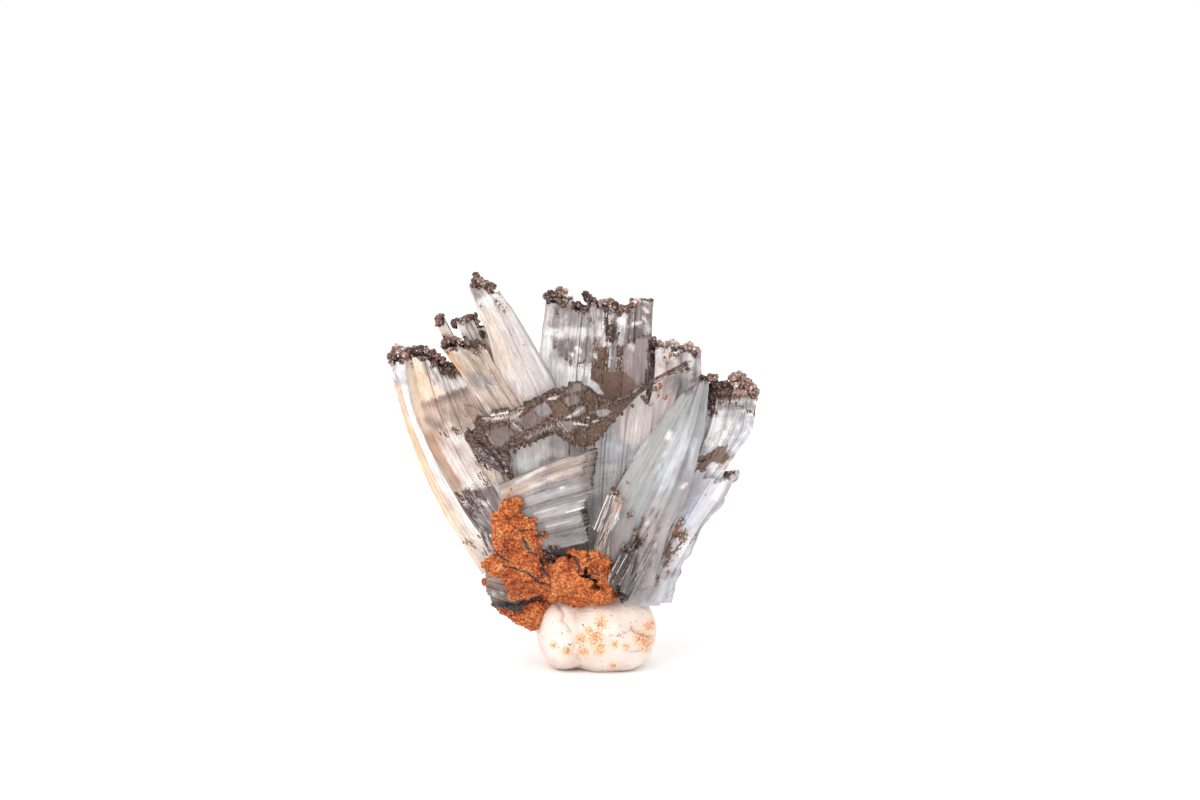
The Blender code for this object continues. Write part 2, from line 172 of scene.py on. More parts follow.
def segmentDistance(x, z, a, b):
    ax, az, bx, bz = *a, *b
    along = ((x - ax) * (bx - ax) + (z - az) * (bz - az)) / max((bx - ax) ** 2 + (bz - az) ** 2, 1e-9)
    along = np.clip(along, 0, 1)
    return np.hypot(x - ax - along * (bx - ax), z - az - along * (bz - az))


def pathDistance(x, z, path):  # distance from a line of points, or from one point
    if len(path) == 1:
        return np.hypot(x - path[0][0], z - path[0][1])
    return np.min([segmentDistance(x, z, a, b) for a, b in zip(path, path[1:])], axis=0)


def insideDistance(x, z, outline):  # distance from an outline's edge, positive inside it
    reach = pathDistance(x, z, [*outline, outline[0]])
    inside = np.zeros(np.shape(x), bool)
    for (ax, az), (bx, bz) in zip(outline, [*outline[1:], outline[0]]):
        crosses = (az > z) != (bz > z)
        inside ^= crosses & (x < (bx - ax) * (z - az) / (bz - az + 1e-12) + ax)
    return np.where(inside, reach, -reach)


class Wire:  # a node's output that sums can be written on
    def __init__(self, finish, socket):
        self.finish, self.socket = finish, socket

    def __add__(self, other):
        return self.finish.sum("ADD", self, other)

    def __sub__(self, other):
        return self.finish.sum("SUBTRACT", self, other)

    def __rsub__(self, other):
        return self.finish.sum("SUBTRACT", other, self)

    def __mul__(self, other):
        return self.finish.sum("MULTIPLY", self, other)

    __radd__, __rmul__ = __add__, __mul__


class Finish:  # the nodes of a material, or of the world
    def __init__(self, name, owner=None):
        self.owner = owner or bpy.data.materials.new(name)
        self.owner.use_nodes = True
        self.tree = self.owner.node_tree
        self.tree.nodes.clear()

    def node(self, kind, settings=(), sockets=(), output=0):
        made = self.tree.nodes.new("ShaderNode" + kind)
        for key, value in dict(settings).items():
            if key == "stops":
                for stop, (place, colour) in zip(made.color_ramp.elements, value):
                    stop.position, stop.color = place, (*colour, 1)
                for place, colour in value[2:]:
                    made.color_ramp.elements.new(place).color = (*colour, 1)
            else:
                setattr(made, key, value)
        for key, value in dict(sockets).items():
            if isinstance(value, Wire):
                self.tree.links.new(value.socket, made.inputs[key])
            else:
                made.inputs[key].default_value = value
        return Wire(self, made.outputs[output] if made.outputs else None)

    def sum(self, operation, *values):
        return self.node("Math", {"operation": operation}, dict(enumerate(values)))

    def bigger(self, a, b):
        return self.sum("MAXIMUM", a, b)

    def step(self, value, low, high):  # 0 below low, 1 above high
        return self.node(
            "MapRange", {"interpolation_type": "SMOOTHSTEP"},
            {"Value": value, "From Min": low, "From Max": high},
        )

    def place(self):  # the point on the object, in mm
        return self.scaled(self.node("TexCoord", output="Object"), (1 / mm, 1 / mm, 1 / mm))

    def attribute(self, name, kind="Fac"):
        return self.node("Attribute", {"attribute_name": name}, output=kind)

    def scaled(self, vector, by):
        return self.node("VectorMath", {"operation": "MULTIPLY"}, {0: vector, 1: by})

    def noise(self, vector, scale=1.0, detail=2.0, roughness=0.5):
        return self.node(
            "TexNoise", (), {"Vector": vector, "Scale": scale, "Detail": detail, "Roughness": roughness}
        )

    def mixed(self, share, a, b, blend="MIX"):
        return self.node(
            "Mix", {"data_type": "RGBA", "blend_type": blend},
            {0: share, 6: a if isinstance(a, Wire) else (*a, 1), 7: b if isinstance(b, Wire) else (*b, 1)},
            output=2,
        )

    def ramp(self, value, *stops):
        return self.node("ValToRGB", {"stops": [(place, linear(colour)) for place, colour in stops]}, {0: value})

    def bump(self, height, strength, distance):
        return self.node("Bump", (), {"Height": height, "Strength": strength, "Distance": distance})

    def principled(self, sockets):
        return self.node("BsdfPrincipled", (), sockets)

    def blendShaders(self, share, a, b):
        return self.node("MixShader", (), {0: share, 1: a, 2: b})

    def done(self, shader):
        self.node("OutputMaterial", (), {"Surface": shader})
        return self.owner


def crystalFinish(name, look):
    f = Finish(name)
    grain = f.attribute("grain", "Vector")  # across, along and through the blades, in mm
    fine = f.noise(f.scaled(grain, (4.4, 0.07, 0.4)), detail=4, roughness=0.7)
    dashes = f.noise(f.scaled(grain, (3.0, 0.5, 0.5)), detail=2)
    broad = f.noise(f.scaled(grain, (1.1, 0.035, 0.2)), detail=1)
    cloud = f.noise(f.scaled(grain, (0.5, 0.3, 0.3)), detail=4, roughness=0.65)
    lines = f.step(fine, 0.4, 0.6)
    dashed = f.step(dashes, 0.56, 0.7)
    veil = f.step(cloud, 0.36, 0.62)
    hairlines = 1 - f.step(f.sum("ABSOLUTE", broad - 0.5), 0.004, 0.03)
    tint = f.attribute("tint", "Color")
    darker = f.mixed(1.0, tint, look["shade"], "MULTIPLY")
    # Crisp bright and dark patches where the crystal is clear: painted refraction of the bright and dim studio
    # around it, the dark patches as painted shade and the bright ones as painted highlights.
    facets = f.noise(f.scaled(grain, (1.3, 0.5, 0.5)), detail=3, roughness=0.6)
    paintedRefraction = (1 - f.attribute("fog")) * look["facets"]
    dim = (1 - lines) * look["line"] + dashed * look["dash"] + (1 - veil) * look["cloud"]
    dim = dim + f.step(facets, 0.53, 0.56) * paintedRefraction
    body = f.mixed(dim + hairlines * veil * look["hairline"], tint, darker)
    # Painted glints and highlights: short bright streaks and the bright refraction patches, mixed towards white in
    # the base colour.
    shine = f.step(fine, 0.62, 0.74) * (1 - dashed) * look["glint"]
    shine = shine + (1 - f.step(facets, 0.39, 0.42)) * paintedRefraction
    body = f.mixed(shine, body, pureWhite)
    milk = f.attribute("fog") + (lines - 0.5) * look["lineFog"] + (veil - 0.5) * 0.16
    milk = f.sum("MAXIMUM", f.sum("MINIMUM", milk, 1.0), 0.05)
    ridges = f.bump(fine * 0.5 + dashes * 0.3, look["ridge"], 0.00006)
    clear = f.principled({
        "Base Color": f.mixed(0.5, tint, pureWhite),
        "Roughness": f.step(cloud, 0.3, 0.8) * 0.14 + 0.03,
        "IOR": 1.64, "Transmission Weight": 1.0, "Normal": ridges,
    })
    milky = f.principled({"Base Color": body, "Roughness": lines * 0.2 + 0.22, "IOR": 1.64, "Normal": ridges})
    crumb = f.noise(f.scaled(grain, (1.7, 1.3, 1.3)), detail=5, roughness=0.75)
    crystals = f.noise(f.scaled(grain, (4.2, 3.4, 3.4)), detail=2)
    edge = f.attribute("coat") + (crumb - 0.5) * 3.0 + (crystals - 0.5) * 1.6
    coated = f.step(edge, -0.03, 0.04)
    rusty = f.step(f.attribute("rust") + (crystals - 0.5) * 1.8 + (crumb - 0.5) * 1.0, 0.0, 0.12)
    pitted = 1 - f.step(f.attribute("bark"), 0.37, 0.41)
    bark = (crystals + crumb - 1.0) * (pitted * 0.5 + 0.25) + f.attribute("bark") * 0.55 + 0.22
    oxide = f.ramp(
        bark, (0.3, "ink"), (0.4, "umber"), (0.5, "brown"), (0.6, (138, 116, 107)),
        (0.72, "lilacGrey"),
    )
    hot = f.ramp(crumb, (0.35, "deepRust"), (0.5, "rust"), (0.65, "brightRust"))
    coat = f.principled({
        "Base Color": f.mixed(rusty, oxide, hot), "Roughness": 0.8, "Normal": f.bump(crystals + crumb, 0.6, 0.0002),
    })
    shader = f.blendShaders(milk, clear, milky)
    return f.done(f.blendShaders(f.bigger(coated, rusty), shader, coat))


def oxideFinish():
    f = Finish("darkOxide")
    place = f.place()
    patch = f.noise(place, 0.7, 3)
    grain = f.noise(place, 2.8, 4, 0.65)
    chip = f.attribute("chip")
    value = grain * 0.42 + f.attribute("tone") * 0.4 + chip * 0.26 + 0.02
    dark = f.ramp(
        value, (0.26, (48, 37, 35)), (0.38, (88, 64, 57)), (0.48, (130, 97, 87)),
        (0.58, (158, 132, 123)), (0.7, (206, 186, 178)), (0.84, (240, 228, 222)),
    )
    warm = f.ramp(grain, (0.35, (124, 64, 48)), (0.5, (172, 96, 66)), (0.65, (224, 138, 94)))
    heat = f.step(patch + f.attribute("heat") * 0.45 + (chip - 0.5) * 0.1, 0.62, 0.72)
    shader = f.principled({
        "Base Color": f.mixed(heat * 0.8, dark, warm), "Roughness": grain * 0.5 + 0.15,
        "Normal": f.bump(grain, 0.6, 0.00012),
    })
    return f.done(shader)


def rustFinish():
    f = Finish("rustCrust")
    place = f.place()
    wide = f.noise(place, 0.4, 5, 0.65)
    flaky = f.node("Mapping", {}, {"Vector": place, "Rotation": (0.0, 0.6, 0.0), "Scale": (0.55, 1.0, 1.5)})
    grain = f.noise(flaky, 2.6, 4, 0.72)
    speck = f.noise(place, 6.5, 2)
    chip = f.attribute("chip")
    colour = f.ramp(
        wide * 0.5 + grain * 0.45 + chip * 0.14, (0.39, (112, 54, 36)), (0.45, (190, 96, 50)),
        (0.52, (242, 130, 66)), (0.62, (252, 158, 88)), (0.74, (255, 204, 144)),
    )
    pores = f.node("TexVoronoi", {"feature": "SMOOTH_F1"}, {"Vector": place, "Scale": 2.6, "Smoothness": 0.3})
    colour = f.mixed(f.step(pores, 0.4, 0.7) * 0.6, colour, linear((96, 44, 28)))
    colour = f.mixed(f.step(speck, 0.58, 0.66) * 0.5, colour, linear((80, 40, 30)))
    violet = f.step(f.noise(f.scaled(place, (1.0, 1.0, 1.3)), 0.3, 4), 0.57, 0.66)
    colour = f.mixed(violet * 0.4, colour, linear((140, 78, 64)))
    hollow = f.attribute("crack")
    colour = f.mixed(f.step(hollow + (grain - 0.5) * 1.4, 0.45, 0.6), colour, f.ramp(
        speck, (0.35, (40, 38, 40)), (0.6, (112, 110, 116)),
    ))
    shader = f.principled({
        "Base Color": colour, "Roughness": 0.82, "Normal": f.bump(grain + speck * 0.4 - pores * 0.8, 0.9, 0.0003),
    })
    return f.done(shader)


def puttyFinish():
    f = Finish("mineralPutty")
    place = f.place()
    wide = f.noise(place, 0.22, 3)
    fine = f.noise(place, 2.0, 5, 0.75)
    dots = f.noise(place, 2.2, 1)
    colour = f.ramp(wide, (0.32, (228, 206, 192)), (0.52, (238, 220, 209)), (0.7, (244, 232, 224)))
    stain = f.attribute("stain")
    crumbs = f.noise(place, 3.6, 4, 0.7)
    colour = f.mixed(f.step(stain + (fine - 0.5) * 2.2, 0.1, 0.8) * 0.55, colour, linear((246, 204, 156)))
    colour = f.mixed(f.step(stain + (crumbs - 0.5) * 3.6, 0.55, 1.1) * 0.85, colour, linear((222, 140, 76)))
    colour = f.mixed(f.step(stain + (crumbs - 0.5) * 5.0, 1.1, 1.5) * 0.8, colour, linear((166, 84, 44)))
    colour = f.mixed(f.step(fine - stain * 0.1, 0.66, 0.74) * 0.2, colour, linear((206, 160, 128)))
    colour = f.mixed(f.step(f.attribute("crease"), 0.5, 1.0) * 0.45, colour, linear((184, 138, 116)))
    colour = f.mixed(f.step(dots, 0.71, 0.74) * 0.8, colour, linear((128, 104, 90)))
    prints = f.node(
        "TexWave", {"wave_type": "RINGS", "rings_direction": "Y"},
        {"Vector": place, "Scale": 0.62, "Distortion": 3.0, "Detail": 1.0, "Detail Scale": 0.4},
    )
    height = prints * f.step(wide, 0.4, 0.6) * 0.4 + fine * 1.4
    shader = f.principled({"Base Color": colour, "Roughness": 0.6, "Normal": f.bump(height, 0.5, 0.00016)})
    return f.done(shader)


finishes = {
    # The glint and patch strengths set how much painted highlight and painted refraction each crystal finish gets.
    "glass": crystalFinish("glassyCrystal", {
        "shade": (0.55, 0.46, 0.44), "line": 0.14, "dash": 0.14, "cloud": 0.14, "hairline": 0.22, "glint": 0.35,
        "lineFog": 0.08, "ridge": 0.25, "facets": 2.4,
    }),
    "smooth": crystalFinish("milkyCrystal", {
        "shade": (0.6, 0.56, 0.55), "line": 0.12, "dash": 0.1, "cloud": 0.1, "hairline": 0.2, "glint": 0.14,
        "lineFog": 0.04, "ridge": 0.15, "facets": 1.0,
    }),
    "oxide": oxideFinish(),
    "rust": rustFinish(),
    "putty": puttyFinish(),
}
print("finishes made:", len(finishes))


def makeMesh(name, points, faces):
    mesh = bpy.data.meshes.new(name)
    mesh.from_pydata((np.asarray(points) * mm).tolist(), [], faces)
    mesh.validate()
    return mesh


def addAttribute(mesh, name, kind, values):
    field = {"FLOAT": "value", "FLOAT_VECTOR": "vector", "FLOAT_COLOR": "color"}[kind]
    made = mesh.attributes.new(name, kind, "POINT")
    made.data.foreach_set(field, np.ascontiguousarray(values, np.float32).ravel())


def addPiece(name, mesh, finish, replaced=(), sharpAngle=None):
    mesh.materials.clear()
    mesh.materials.append(finishes[finish] if isinstance(finish, str) else finish)
    mesh.shade_smooth()
    if sharpAngle:
        mesh.set_sharp_from_angle(angle=math.radians(sharpAngle))
    piece = bpy.data.objects.new(name, mesh)
    bpy.context.scene.collection.objects.link(piece)
    if replaced:
        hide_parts(*replaced)
    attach(piece, "root")
    return piece


def reachInto(x, z, shape):  # how far inside a stroke or a patch, in mm
    if "outline" in shape:
        return insideDistance(x, z, shape["outline"])
    return shape["wide"] - pathDistance(x, z, shape["path"])


def paint(x, z, jitter, strokes, tint, fog):  # soft strokes of colour inside a crystal
    uneven = cloudNoise(x * 0.8, z * 0.8, x * 0, 5) * 0.5
    for stroke in strokes:
        soft = stroke.get("soft", 0.6)
        reach = reachInto(x, z, stroke) + (jitter * stroke.get("streaky", 0.4) + uneven) * min(soft, 1)
        share = smooth(-soft, soft, reach) * stroke.get("much", 1.0)
        colour = np.array(linear(stroke["colour"]))
        tint[:] = tint * (1 - share[:, None]) + colour * share[:, None]
        if "fog" in stroke:
            fog[:] = fog * (1 - share) + stroke["fog"] * share


def coatDepth(x, z, jitter, shapes):  # how deep inside an oxide patch, in mm, and how pale and gritty it is
    depth, bark, grit = (np.full(np.shape(x), v) for v in (-4.0, 0.5, 0.0))
    for shape in shapes:
        crisp = shape.get("crisp", 1.0)
        inside = (reachInto(x, z, shape) + shape.get("more", 0.0)) * crisp + jitter * 0.3
        if shape.get("hole"):
            depth = np.minimum(depth, -inside)
            continue
        inside = np.minimum(inside, shape.get("cap", 2.5))
        if shape["colour"] is not None:
            bark = np.where(inside > depth, shape["colour"], bark)
        depth = np.maximum(depth, inside)
        grit = np.maximum(grit, smooth(-0.4, 0.3, inside) * shape.get("grit", 0.0))
    return np.clip(depth, -4, 2.5), bark, grit


def columnEdges(sheaf):  # the columns, drawn in the same order as in the solids
    chance = random.Random(sheaf["seed"])
    widths = [chance.uniform(0.7, 1.3) for _ in sheaf["tops"]]
    edges = np.concatenate([[0.0], np.cumsum(widths) / sum(widths)])
    columns = []
    for index, top in enumerate(sheaf["tops"]):
        lifts = [top + chance.uniform(-0.25, 0.25), top + chance.uniform(-0.25, 0.25)]
        inset = sheaf.get("thin", 0.0) * (edges[index] + edges[index + 1] - 1) ** 2
        steps = [inset + chance.uniform(-0.4, 0.4), inset + chance.uniform(-0.4, 0.4)]
        columns.append({"from": edges[index], "to": edges[index + 1], "lifts": lifts, "steps": steps})
    return columns


bladeHabit = {
    "block": 0.8,  # mm through a sheaf to each block of its tips
    "plate": 0.85,  # mm along a blade between the breaks of its plates
    "break": 0.025,  # half the length of a break, mm
    "groove": 0.008,  # half the gap between blades, mm
    "stepArea": 26,  # square mm of a broad face to each step in it
    "wave": 0.12,  # how far a broad face swells, mm
    "clump": 0.8,  # how wide a group of blades is, mm
    "fleck": 0.28,  # how far such a group stands back, mm
}


class Sheaf:  # parallel striated blades between two lines, as one closed shell
    def __init__(self, sheaf):
        self.sheaf = sheaf
        self.random = np.random.default_rng(sheaf["seed"])
        self.striae = sheaf.get("striae", 0.2)
        self.ragged = sheaf.get("ragged", 0.5)
        middle = np.linspace(0, 1, 25)
        first, last = (self.place(np.full(25, u), middle) for u in (0.0, 1.0))
        self.wide = np.hypot(*(last - first).T).max()
        centre = self.place(np.full(25, 0.5), middle)
        self.long = np.hypot(*np.diff(centre, axis=0).T).sum()
        self.deep = sum(sheaf["back"]) / 2 - sum(sheaf["front"]) / 2
        self.raised = -math.sin(math.radians(lens["above"])) * sum(sheaf["front"]) / 2

    def place(self, u, v):
        first, last = self.sheaf["first"], self.sheaf["last"]
        if self.sheaf.get("across"):
            foot, tip = alongLine(first, u), alongLine(last, u)
            return foot + (tip - foot) * v[..., None]
        a, b = alongLine(first, v), alongLine(last, v)
        return a + (b - a) * u[..., None]

    def strips(self):  # narrow blades inside each column
        draw, relief = self.random, self.sheaf.get("relief", 1.0)
        bounds, rows = [0.0], []
        group = 0.0
        for column in columnEdges(self.sheaf):
            span = column["to"] - column["from"]
            count = max(2, round(span * self.wide / self.striae))
            widths = draw.uniform(0.5, 1.5, count)
            ends = column["from"] + span * np.cumsum(widths) / widths.sum()
            for k, end in enumerate(ends):
                start = bounds[-1]
                bounds.append(end)
                if draw.random() < self.striae / bladeHabit["clump"]:
                    group = draw.uniform(0, bladeHabit["fleck"])
                share = ((start + end) / 2 - column["from"]) / span
                notch = min(share, 1 - share) * span * self.wide
                notch = max(0.0, 0.3 - notch) * 0.7
                lift = column["lifts"][0] + (column["lifts"][1] - column["lifts"][0]) * share
                crack = 0.3 if draw.random() < 0.05 * self.sheaf.get("cracks", 1) else 0.0
                near = column["steps"][0] + (group + draw.uniform(0, 0.07) + notch) * relief + crack
                far = column["steps"][1] + group * 0.7 + draw.uniform(0, 0.09) + notch
                rows.append((lift, near, far, crack + notch))
        return np.array(bounds), np.array(rows)

    def build(self):
        draw, sheaf = self.random, self.sheaf
        bounds, rows = self.strips()
        count = len(rows)
        cells = max(2, round(self.deep / bladeHabit["block"]))
        walls = np.concatenate([[0], np.cumsum(draw.uniform(0.6, 1.4, cells))])
        walls /= walls[-1]
        # tips: blocks of unequal height, never much above the column they belong to
        blocks = draw.uniform(-1.0, 0.25, (count, cells))
        spread = np.repeat(draw.uniform(-1.0, 0.3, (count // 4 + 1, cells)), 4, axis=0)[:count]
        tips = rows[:, :1] + self.ragged * (spread * 0.7 + blocks * 0.35)
        # plates that end part of the way up leave a step in the broad faces
        breaks = np.linspace(0, 1, int(self.long / bladeHabit["plate"]) + 3)[1:-1]
        pairs = (breaks[:, None] + np.array([-1, 1]) * bladeHabit["break"] / self.long).ravel()
        edges = np.concatenate([[0.0], pairs, [1.0]]).reshape(-1, 2)
        more = sheaf.get("between", 1)
        between = edges[:, :1] + (edges[:, 1:] - edges[:, :1]) * (np.arange(1, more + 1) / (more + 1))
        v = np.sort(np.concatenate([edges.ravel(), between.ravel()]))
        stations = len(v)
        lengths = np.searchsorted(breaks, v)  # which stretch between breaks a station lies in
        relief = np.zeros((2, count, stations))
        middles = (bounds[1:] + bounds[:-1]) / 2
        for side in (0, 1):
            for _ in range(int(self.wide * self.long / bladeHabit["stepArea"])):
                centre, reach = draw.uniform(0, 1), draw.uniform(0.3, 1.6) / self.wide
                starts, slope = draw.uniform(0.1, 0.97), draw.uniform(-0.4, 0.4)
                depth = draw.uniform(0.06, 0.32) * sheaf.get("steps", 1.0)
                if draw.random() < 0.25:
                    depth *= -0.35
                within = np.abs(middles - centre) < reach
                ends = starts + (middles - centre) * slope + draw.uniform(-0.03, 0.03, count)
                ends = breaks[np.clip(np.searchsorted(breaks, ends), 0, len(breaks) - 1)]
                past = v[None, :] > ends[:, None]
                relief[side] += within[:, None] * past * depth
        a = np.arange(2 * count)
        u = bounds[a // 2 + a % 2] + np.where(a % 2, -1, 1) * bladeHabit["groove"] / self.wide
        b = np.arange(2 * cells)
        d = walls[b // 2 + b % 2]
        sideSteps = draw.uniform(0, 0.22, (2, cells))
        tilt = draw.normal(0, 0.07, (2 * count, 2 * cells))

        def points(ai, bi, m):  # the shell's points for blade side ai, depth side bi, station m
            s, j = ai // 2, bi // 2
            run = v[m]
            ux, top = u[ai], tips[s, j] + tilt[ai, bi]
            foot = self.place(ux, np.zeros(len(ux)))
            reach = np.hypot(*(self.place(ux, np.ones(len(ux))) - foot).T)
            flat = self.place(ux, run * (1 + top / reach))
            across = self.place(np.ones(len(ux)), run) - self.place(np.zeros(len(ux)), run)
            across /= np.hypot(*across.T)[:, None]
            near = sheaf["front"][0] + (sheaf["front"][1] - sheaf["front"][0]) * run
            far = sheaf["back"][0] + (sheaf["back"][1] - sheaf["back"][0]) * run
            near = near + rows[s, 1] + relief[0, s, m]
            far = far - rows[s, 2] - relief[1, s, m]
            wave = bladeHabit["wave"] * cloudNoise(flat[:, 0] / 4, flat[:, 1] / 7, flat[:, 0] * 0, sheaf["seed"])
            depth = near + wave + (far - near - wave * 2) * d[bi]
            inward = np.where(ai == 0, sideSteps[0, j], 0) - np.where(ai == 2 * count - 1, sideSteps[1, j], 0)
            side = ux * 2 - 1
            bay = cloudNoise(run * self.long / 2.2, side + 5, depth / 3, sheaf["seed"]) * 0.5 + 0.5
            inward -= np.sign(side) * smooth(0.5, 1, np.abs(side)) * (bay - 0.4) * sheaf.get("bays", 0.25)
            flat = flat + across * inward[:, None]
            return np.column_stack([flat[:, 0], depth, flat[:, 1] + self.raised])

        capA, capB = (g.ravel() for g in np.meshgrid(a, b, indexing="ij"))
        ring = (
            [(k, 0) for k in range(2 * count)]
            + [(2 * count - 1, k) for k in range(1, 2 * cells)]
            + [(k, 2 * cells - 1) for k in range(2 * count - 2, -1, -1)]
            + [(0, k) for k in range(2 * cells - 2, 0, -1)]
        )
        ringA, ringB = np.array(ring).T
        low = stations - 1  # wall stations; the last one is the cap's own rim
        wallA, wallM = np.repeat(ringA, low), np.tile(np.arange(low), len(ring))
        wallB = np.repeat(ringB, low)
        allA = np.concatenate([capA, wallA])
        allB = np.concatenate([capB, wallB])
        allM = np.concatenate([np.full(len(capA), stations - 1), wallM])
        shell = points(allA, allB, allM)
        capCount = len(capA)
        centre = shell[capCount + np.arange(len(ring)) * low].mean(axis=0)
        shell = np.vstack([shell, centre])
        faces = []
        for i in range(2 * count - 1):
            for j in range(2 * cells - 1):
                k = i * 2 * cells + j
                faces.append((k, k + 2 * cells, k + 2 * cells + 1, k + 1))
        rim = ringA * 2 * cells + ringB
        number = len(ring)
        for p in range(number):
            q = (p + 1) % number
            left, right = capCount + p * low, capCount + q * low
            for m in range(low - 1):
                faces.append((left + m, right + m, right + m + 1, left + m + 1))
            faces.append((left + low - 1, right + low - 1, rim[q], rim[p]))
            faces.append((right, left, len(shell) - 1))
        # where each point lies across, along and through the blades
        girth = np.where(ringB == 0, u[ringA] * self.wide, 0.0)
        girth = np.where(ringB > 0, self.wide + d[ringB] * self.deep, girth)
        girth = np.where(ringB == 2 * cells - 1, self.wide + self.deep + (1 - u[ringA]) * self.wide, girth)
        girth = np.where((ringA == 0) & (ringB > 0), 2 * self.wide + self.deep + (1 - d[ringB]) * self.deep, girth)
        grain = np.zeros((len(shell), 3))
        grain[:capCount, 0] = u[capA] * self.wide
        grain[:capCount, 1] = self.long + d[capB] * 2.0
        grain[capCount:-1, 0] = np.repeat(girth, low)
        grain[capCount:-1, 1] = v[wallM] * self.long
        grain[:, 2] = sheaf["seed"] * 7.3
        splinter = draw.uniform(-1, 1, (count, lengths[-1] + 1))
        for k in range(1, splinter.shape[1]):  # a blade keeps its shade for a while
            same = draw.random(count) < 0.72
            splinter[same, k] = splinter[same, k - 1]
        jitter = np.append(splinter[allA // 2, lengths[allM]], 0)
        crack = np.append(rows[allA // 2, 3], 0)
        through = np.append(d[allB], 0.5)
        tipward = np.append((v[allM] - 1) * self.long, -self.long)  # mm below the tip
        outward = self.signed(shell, faces)
        if outward < 0:
            faces = [face[::-1] for face in faces]
        return {
            "points": shell, "faces": faces, "grain": grain, "jitter": jitter, "crack": crack,
            "through": through, "tipward": tipward,
        }

    @staticmethod
    def signed(shell, faces):
        total = 0.0
        for face in faces[:: max(1, len(faces) // 20000)]:
            a, b, c = (shell[i] for i in face[:3])
            total += a.dot(np.cross(b, c))
        return total


emitters = []  # where oxide grains grow: points, faces, how thickly, how pale, how rusty


def growCrystal(piece):
    shells = []
    for sheaf in piece["sheaves"]:
        made = Sheaf(sheaf).build()
        x, y, z = made["points"].T
        across, up = seen(x, y, z)
        tint = np.tile(linear(sheaf.get("colour", piece["colour"])), (len(x), 1))
        fog = np.full(len(x), float(sheaf.get("fog", piece["fog"])))
        strokes = piece.get("strokes", ()) if sheaf.get("painted", True) else ()
        paint(across, up, made["jitter"], strokes, tint, fog)
        uneven = piece.get("uneven", 0.07)
        mottled = layeredNoise(across / 0.9, up / 1.5, x * 0, sheaf["seed"] + 3) * sheaf.get("mottled", 0.0)
        tint *= (1 + uneven * made["jitter"] - 0.7 * made["crack"] + mottled)[:, None]
        tint = np.clip(tint, 0.02, 0.99)
        coat, bark, grit = coatDepth(across, up, made["jitter"], piece.get("coats", ()))
        rust, _, _ = coatDepth(across, up, made["jitter"], piece.get("rust", ()))
        back = made["through"] > 0.5
        cloudy = layeredNoise(x / 6, z / 9, x * 0, sheaf["seed"])
        coat = np.where(back, cloudy * 2.4 - 1.9 + made["jitter"] * 0.3, coat)
        grit = np.where(back, 0, grit)
        rust = np.where(back, -4.0, rust)
        reach = sheaf.get("crusted", 0.0)
        if reach:
            ripple = layeredNoise(x / 1.3, z / 1.3, y / 1.3, 11)
            tipCoat = np.minimum((made["tipward"] + reach) * 0.8 + ripple * 1.3 - 0.2, 1.2)
            coat = np.maximum(coat, tipCoat)
            bark = np.where(tipCoat > -0.5, 0.25, bark)
            grit = np.maximum(grit, np.clip(tipCoat, 0, 1))
        if grit.max() > 0.05:
            emitters.append((made["points"], made["faces"], grit, grit * 0 + 0.25, grit * 0))
        made.update(tint=tint, fog=fog, coat=coat, rust=rust, bark=bark)
        shells.append(made)
    addShells(piece, shells)


def addShells(piece, shells):
    points, faces, start = [], [], 0
    for made in shells:
        faces += [tuple(i + start for i in face) for face in made["faces"]]
        points.append(made["points"])
        start += len(made["points"])
    mesh = makeMesh(piece["name"], np.vstack(points), faces)
    addAttribute(mesh, "grain", "FLOAT_VECTOR", np.concatenate([made["grain"] for made in shells]))
    for key in ("fog", "coat", "rust", "bark"):
        addAttribute(mesh, key, "FLOAT", np.concatenate([made[key] for made in shells]))
    tints = np.concatenate([made["tint"] for made in shells])
    addAttribute(mesh, "tint", "FLOAT_COLOR", np.column_stack([tints, np.ones(len(tints))]))
    addPiece(piece["name"], mesh, piece["finish"], [piece["solid"]] if piece["solid"] else (), 14)
    print(piece["name"], "grown:", len(mesh.polygons), "faces")


leftBlade = {
    "name": "leftBlade", "solid": "left_blade", "slot": "clear_barite", "finish": "glass", "colour": "clear",
    "fog": 0.95, "uneven": 0.04,
    "sheaves": [
        {"first": [(-17.4, 13.8), (-22.7, 22.6), (-26.9, 31.7), (-29.7, 40.3), (-31.2, 46.2)], "last": [(-13.4, 16),
         (-18.5, 21.8), (-23.8, 31), (-27.2, 39), (-28.4, 46.3)], "front": (-2.4, -3.6), "back": (2, 0.8),
         "tops": (0, 0.5), "crusted": 0.5, "seed": 3, "relief": 0.6, "cracks": 0.3},
    ],
}
leftBlade["strokes"] = [
    line("peach", 1, -29.9, 42, -28.6, 37, -26.9, 32.6, -24.5, 26, -21, 20, -18, 15, fog=0.95, soft=0.9),
    line("orange", 0.9, -28.2, 36, -26.8, 31.4, -25, 27, -23.2, 23.6, much=0.85, soft=0.9),
    # Painted highlight: the white stroke along the middle of the blade.
    line("white", 0.75, -28.6, 42.4, -27.6, 38.4, -26, 34.6, -23.8, 30.2, -21.2, 26, fog=0.9, soft=0.35),
    line("cream", 0.8, -22.6, 25.6, -18.2, 18.6, fog=0.85, much=0.7),
    line("blush", 0.4, -24.6, 29.4, -23.4, 28.4, much=0.5),
    line("white", 1.6, -29.9, 45.4, -29.6, 44.8, fog=0.85, soft=0.4),
    line("lilacGrey", 0.4, -30.4, 43.3, -28.8, 43.1, much=0.6, fog=0.9, soft=0.5),
    line("blush", 0.5, -29.3, 48, -29, 46.8, fog=0.9),
]
leftBlade["coats"] = [
    line(0.35, 0.2, -19.6, 19.4, -19, 19.1), line(0.35, 0.1, -17.7, 19.8), line(0.4, 0, -18.5, 18.4),
    line(0.5, 0.45, -30.7, 47, -30.4, 46.6),
]
growCrystal(leftBlade)

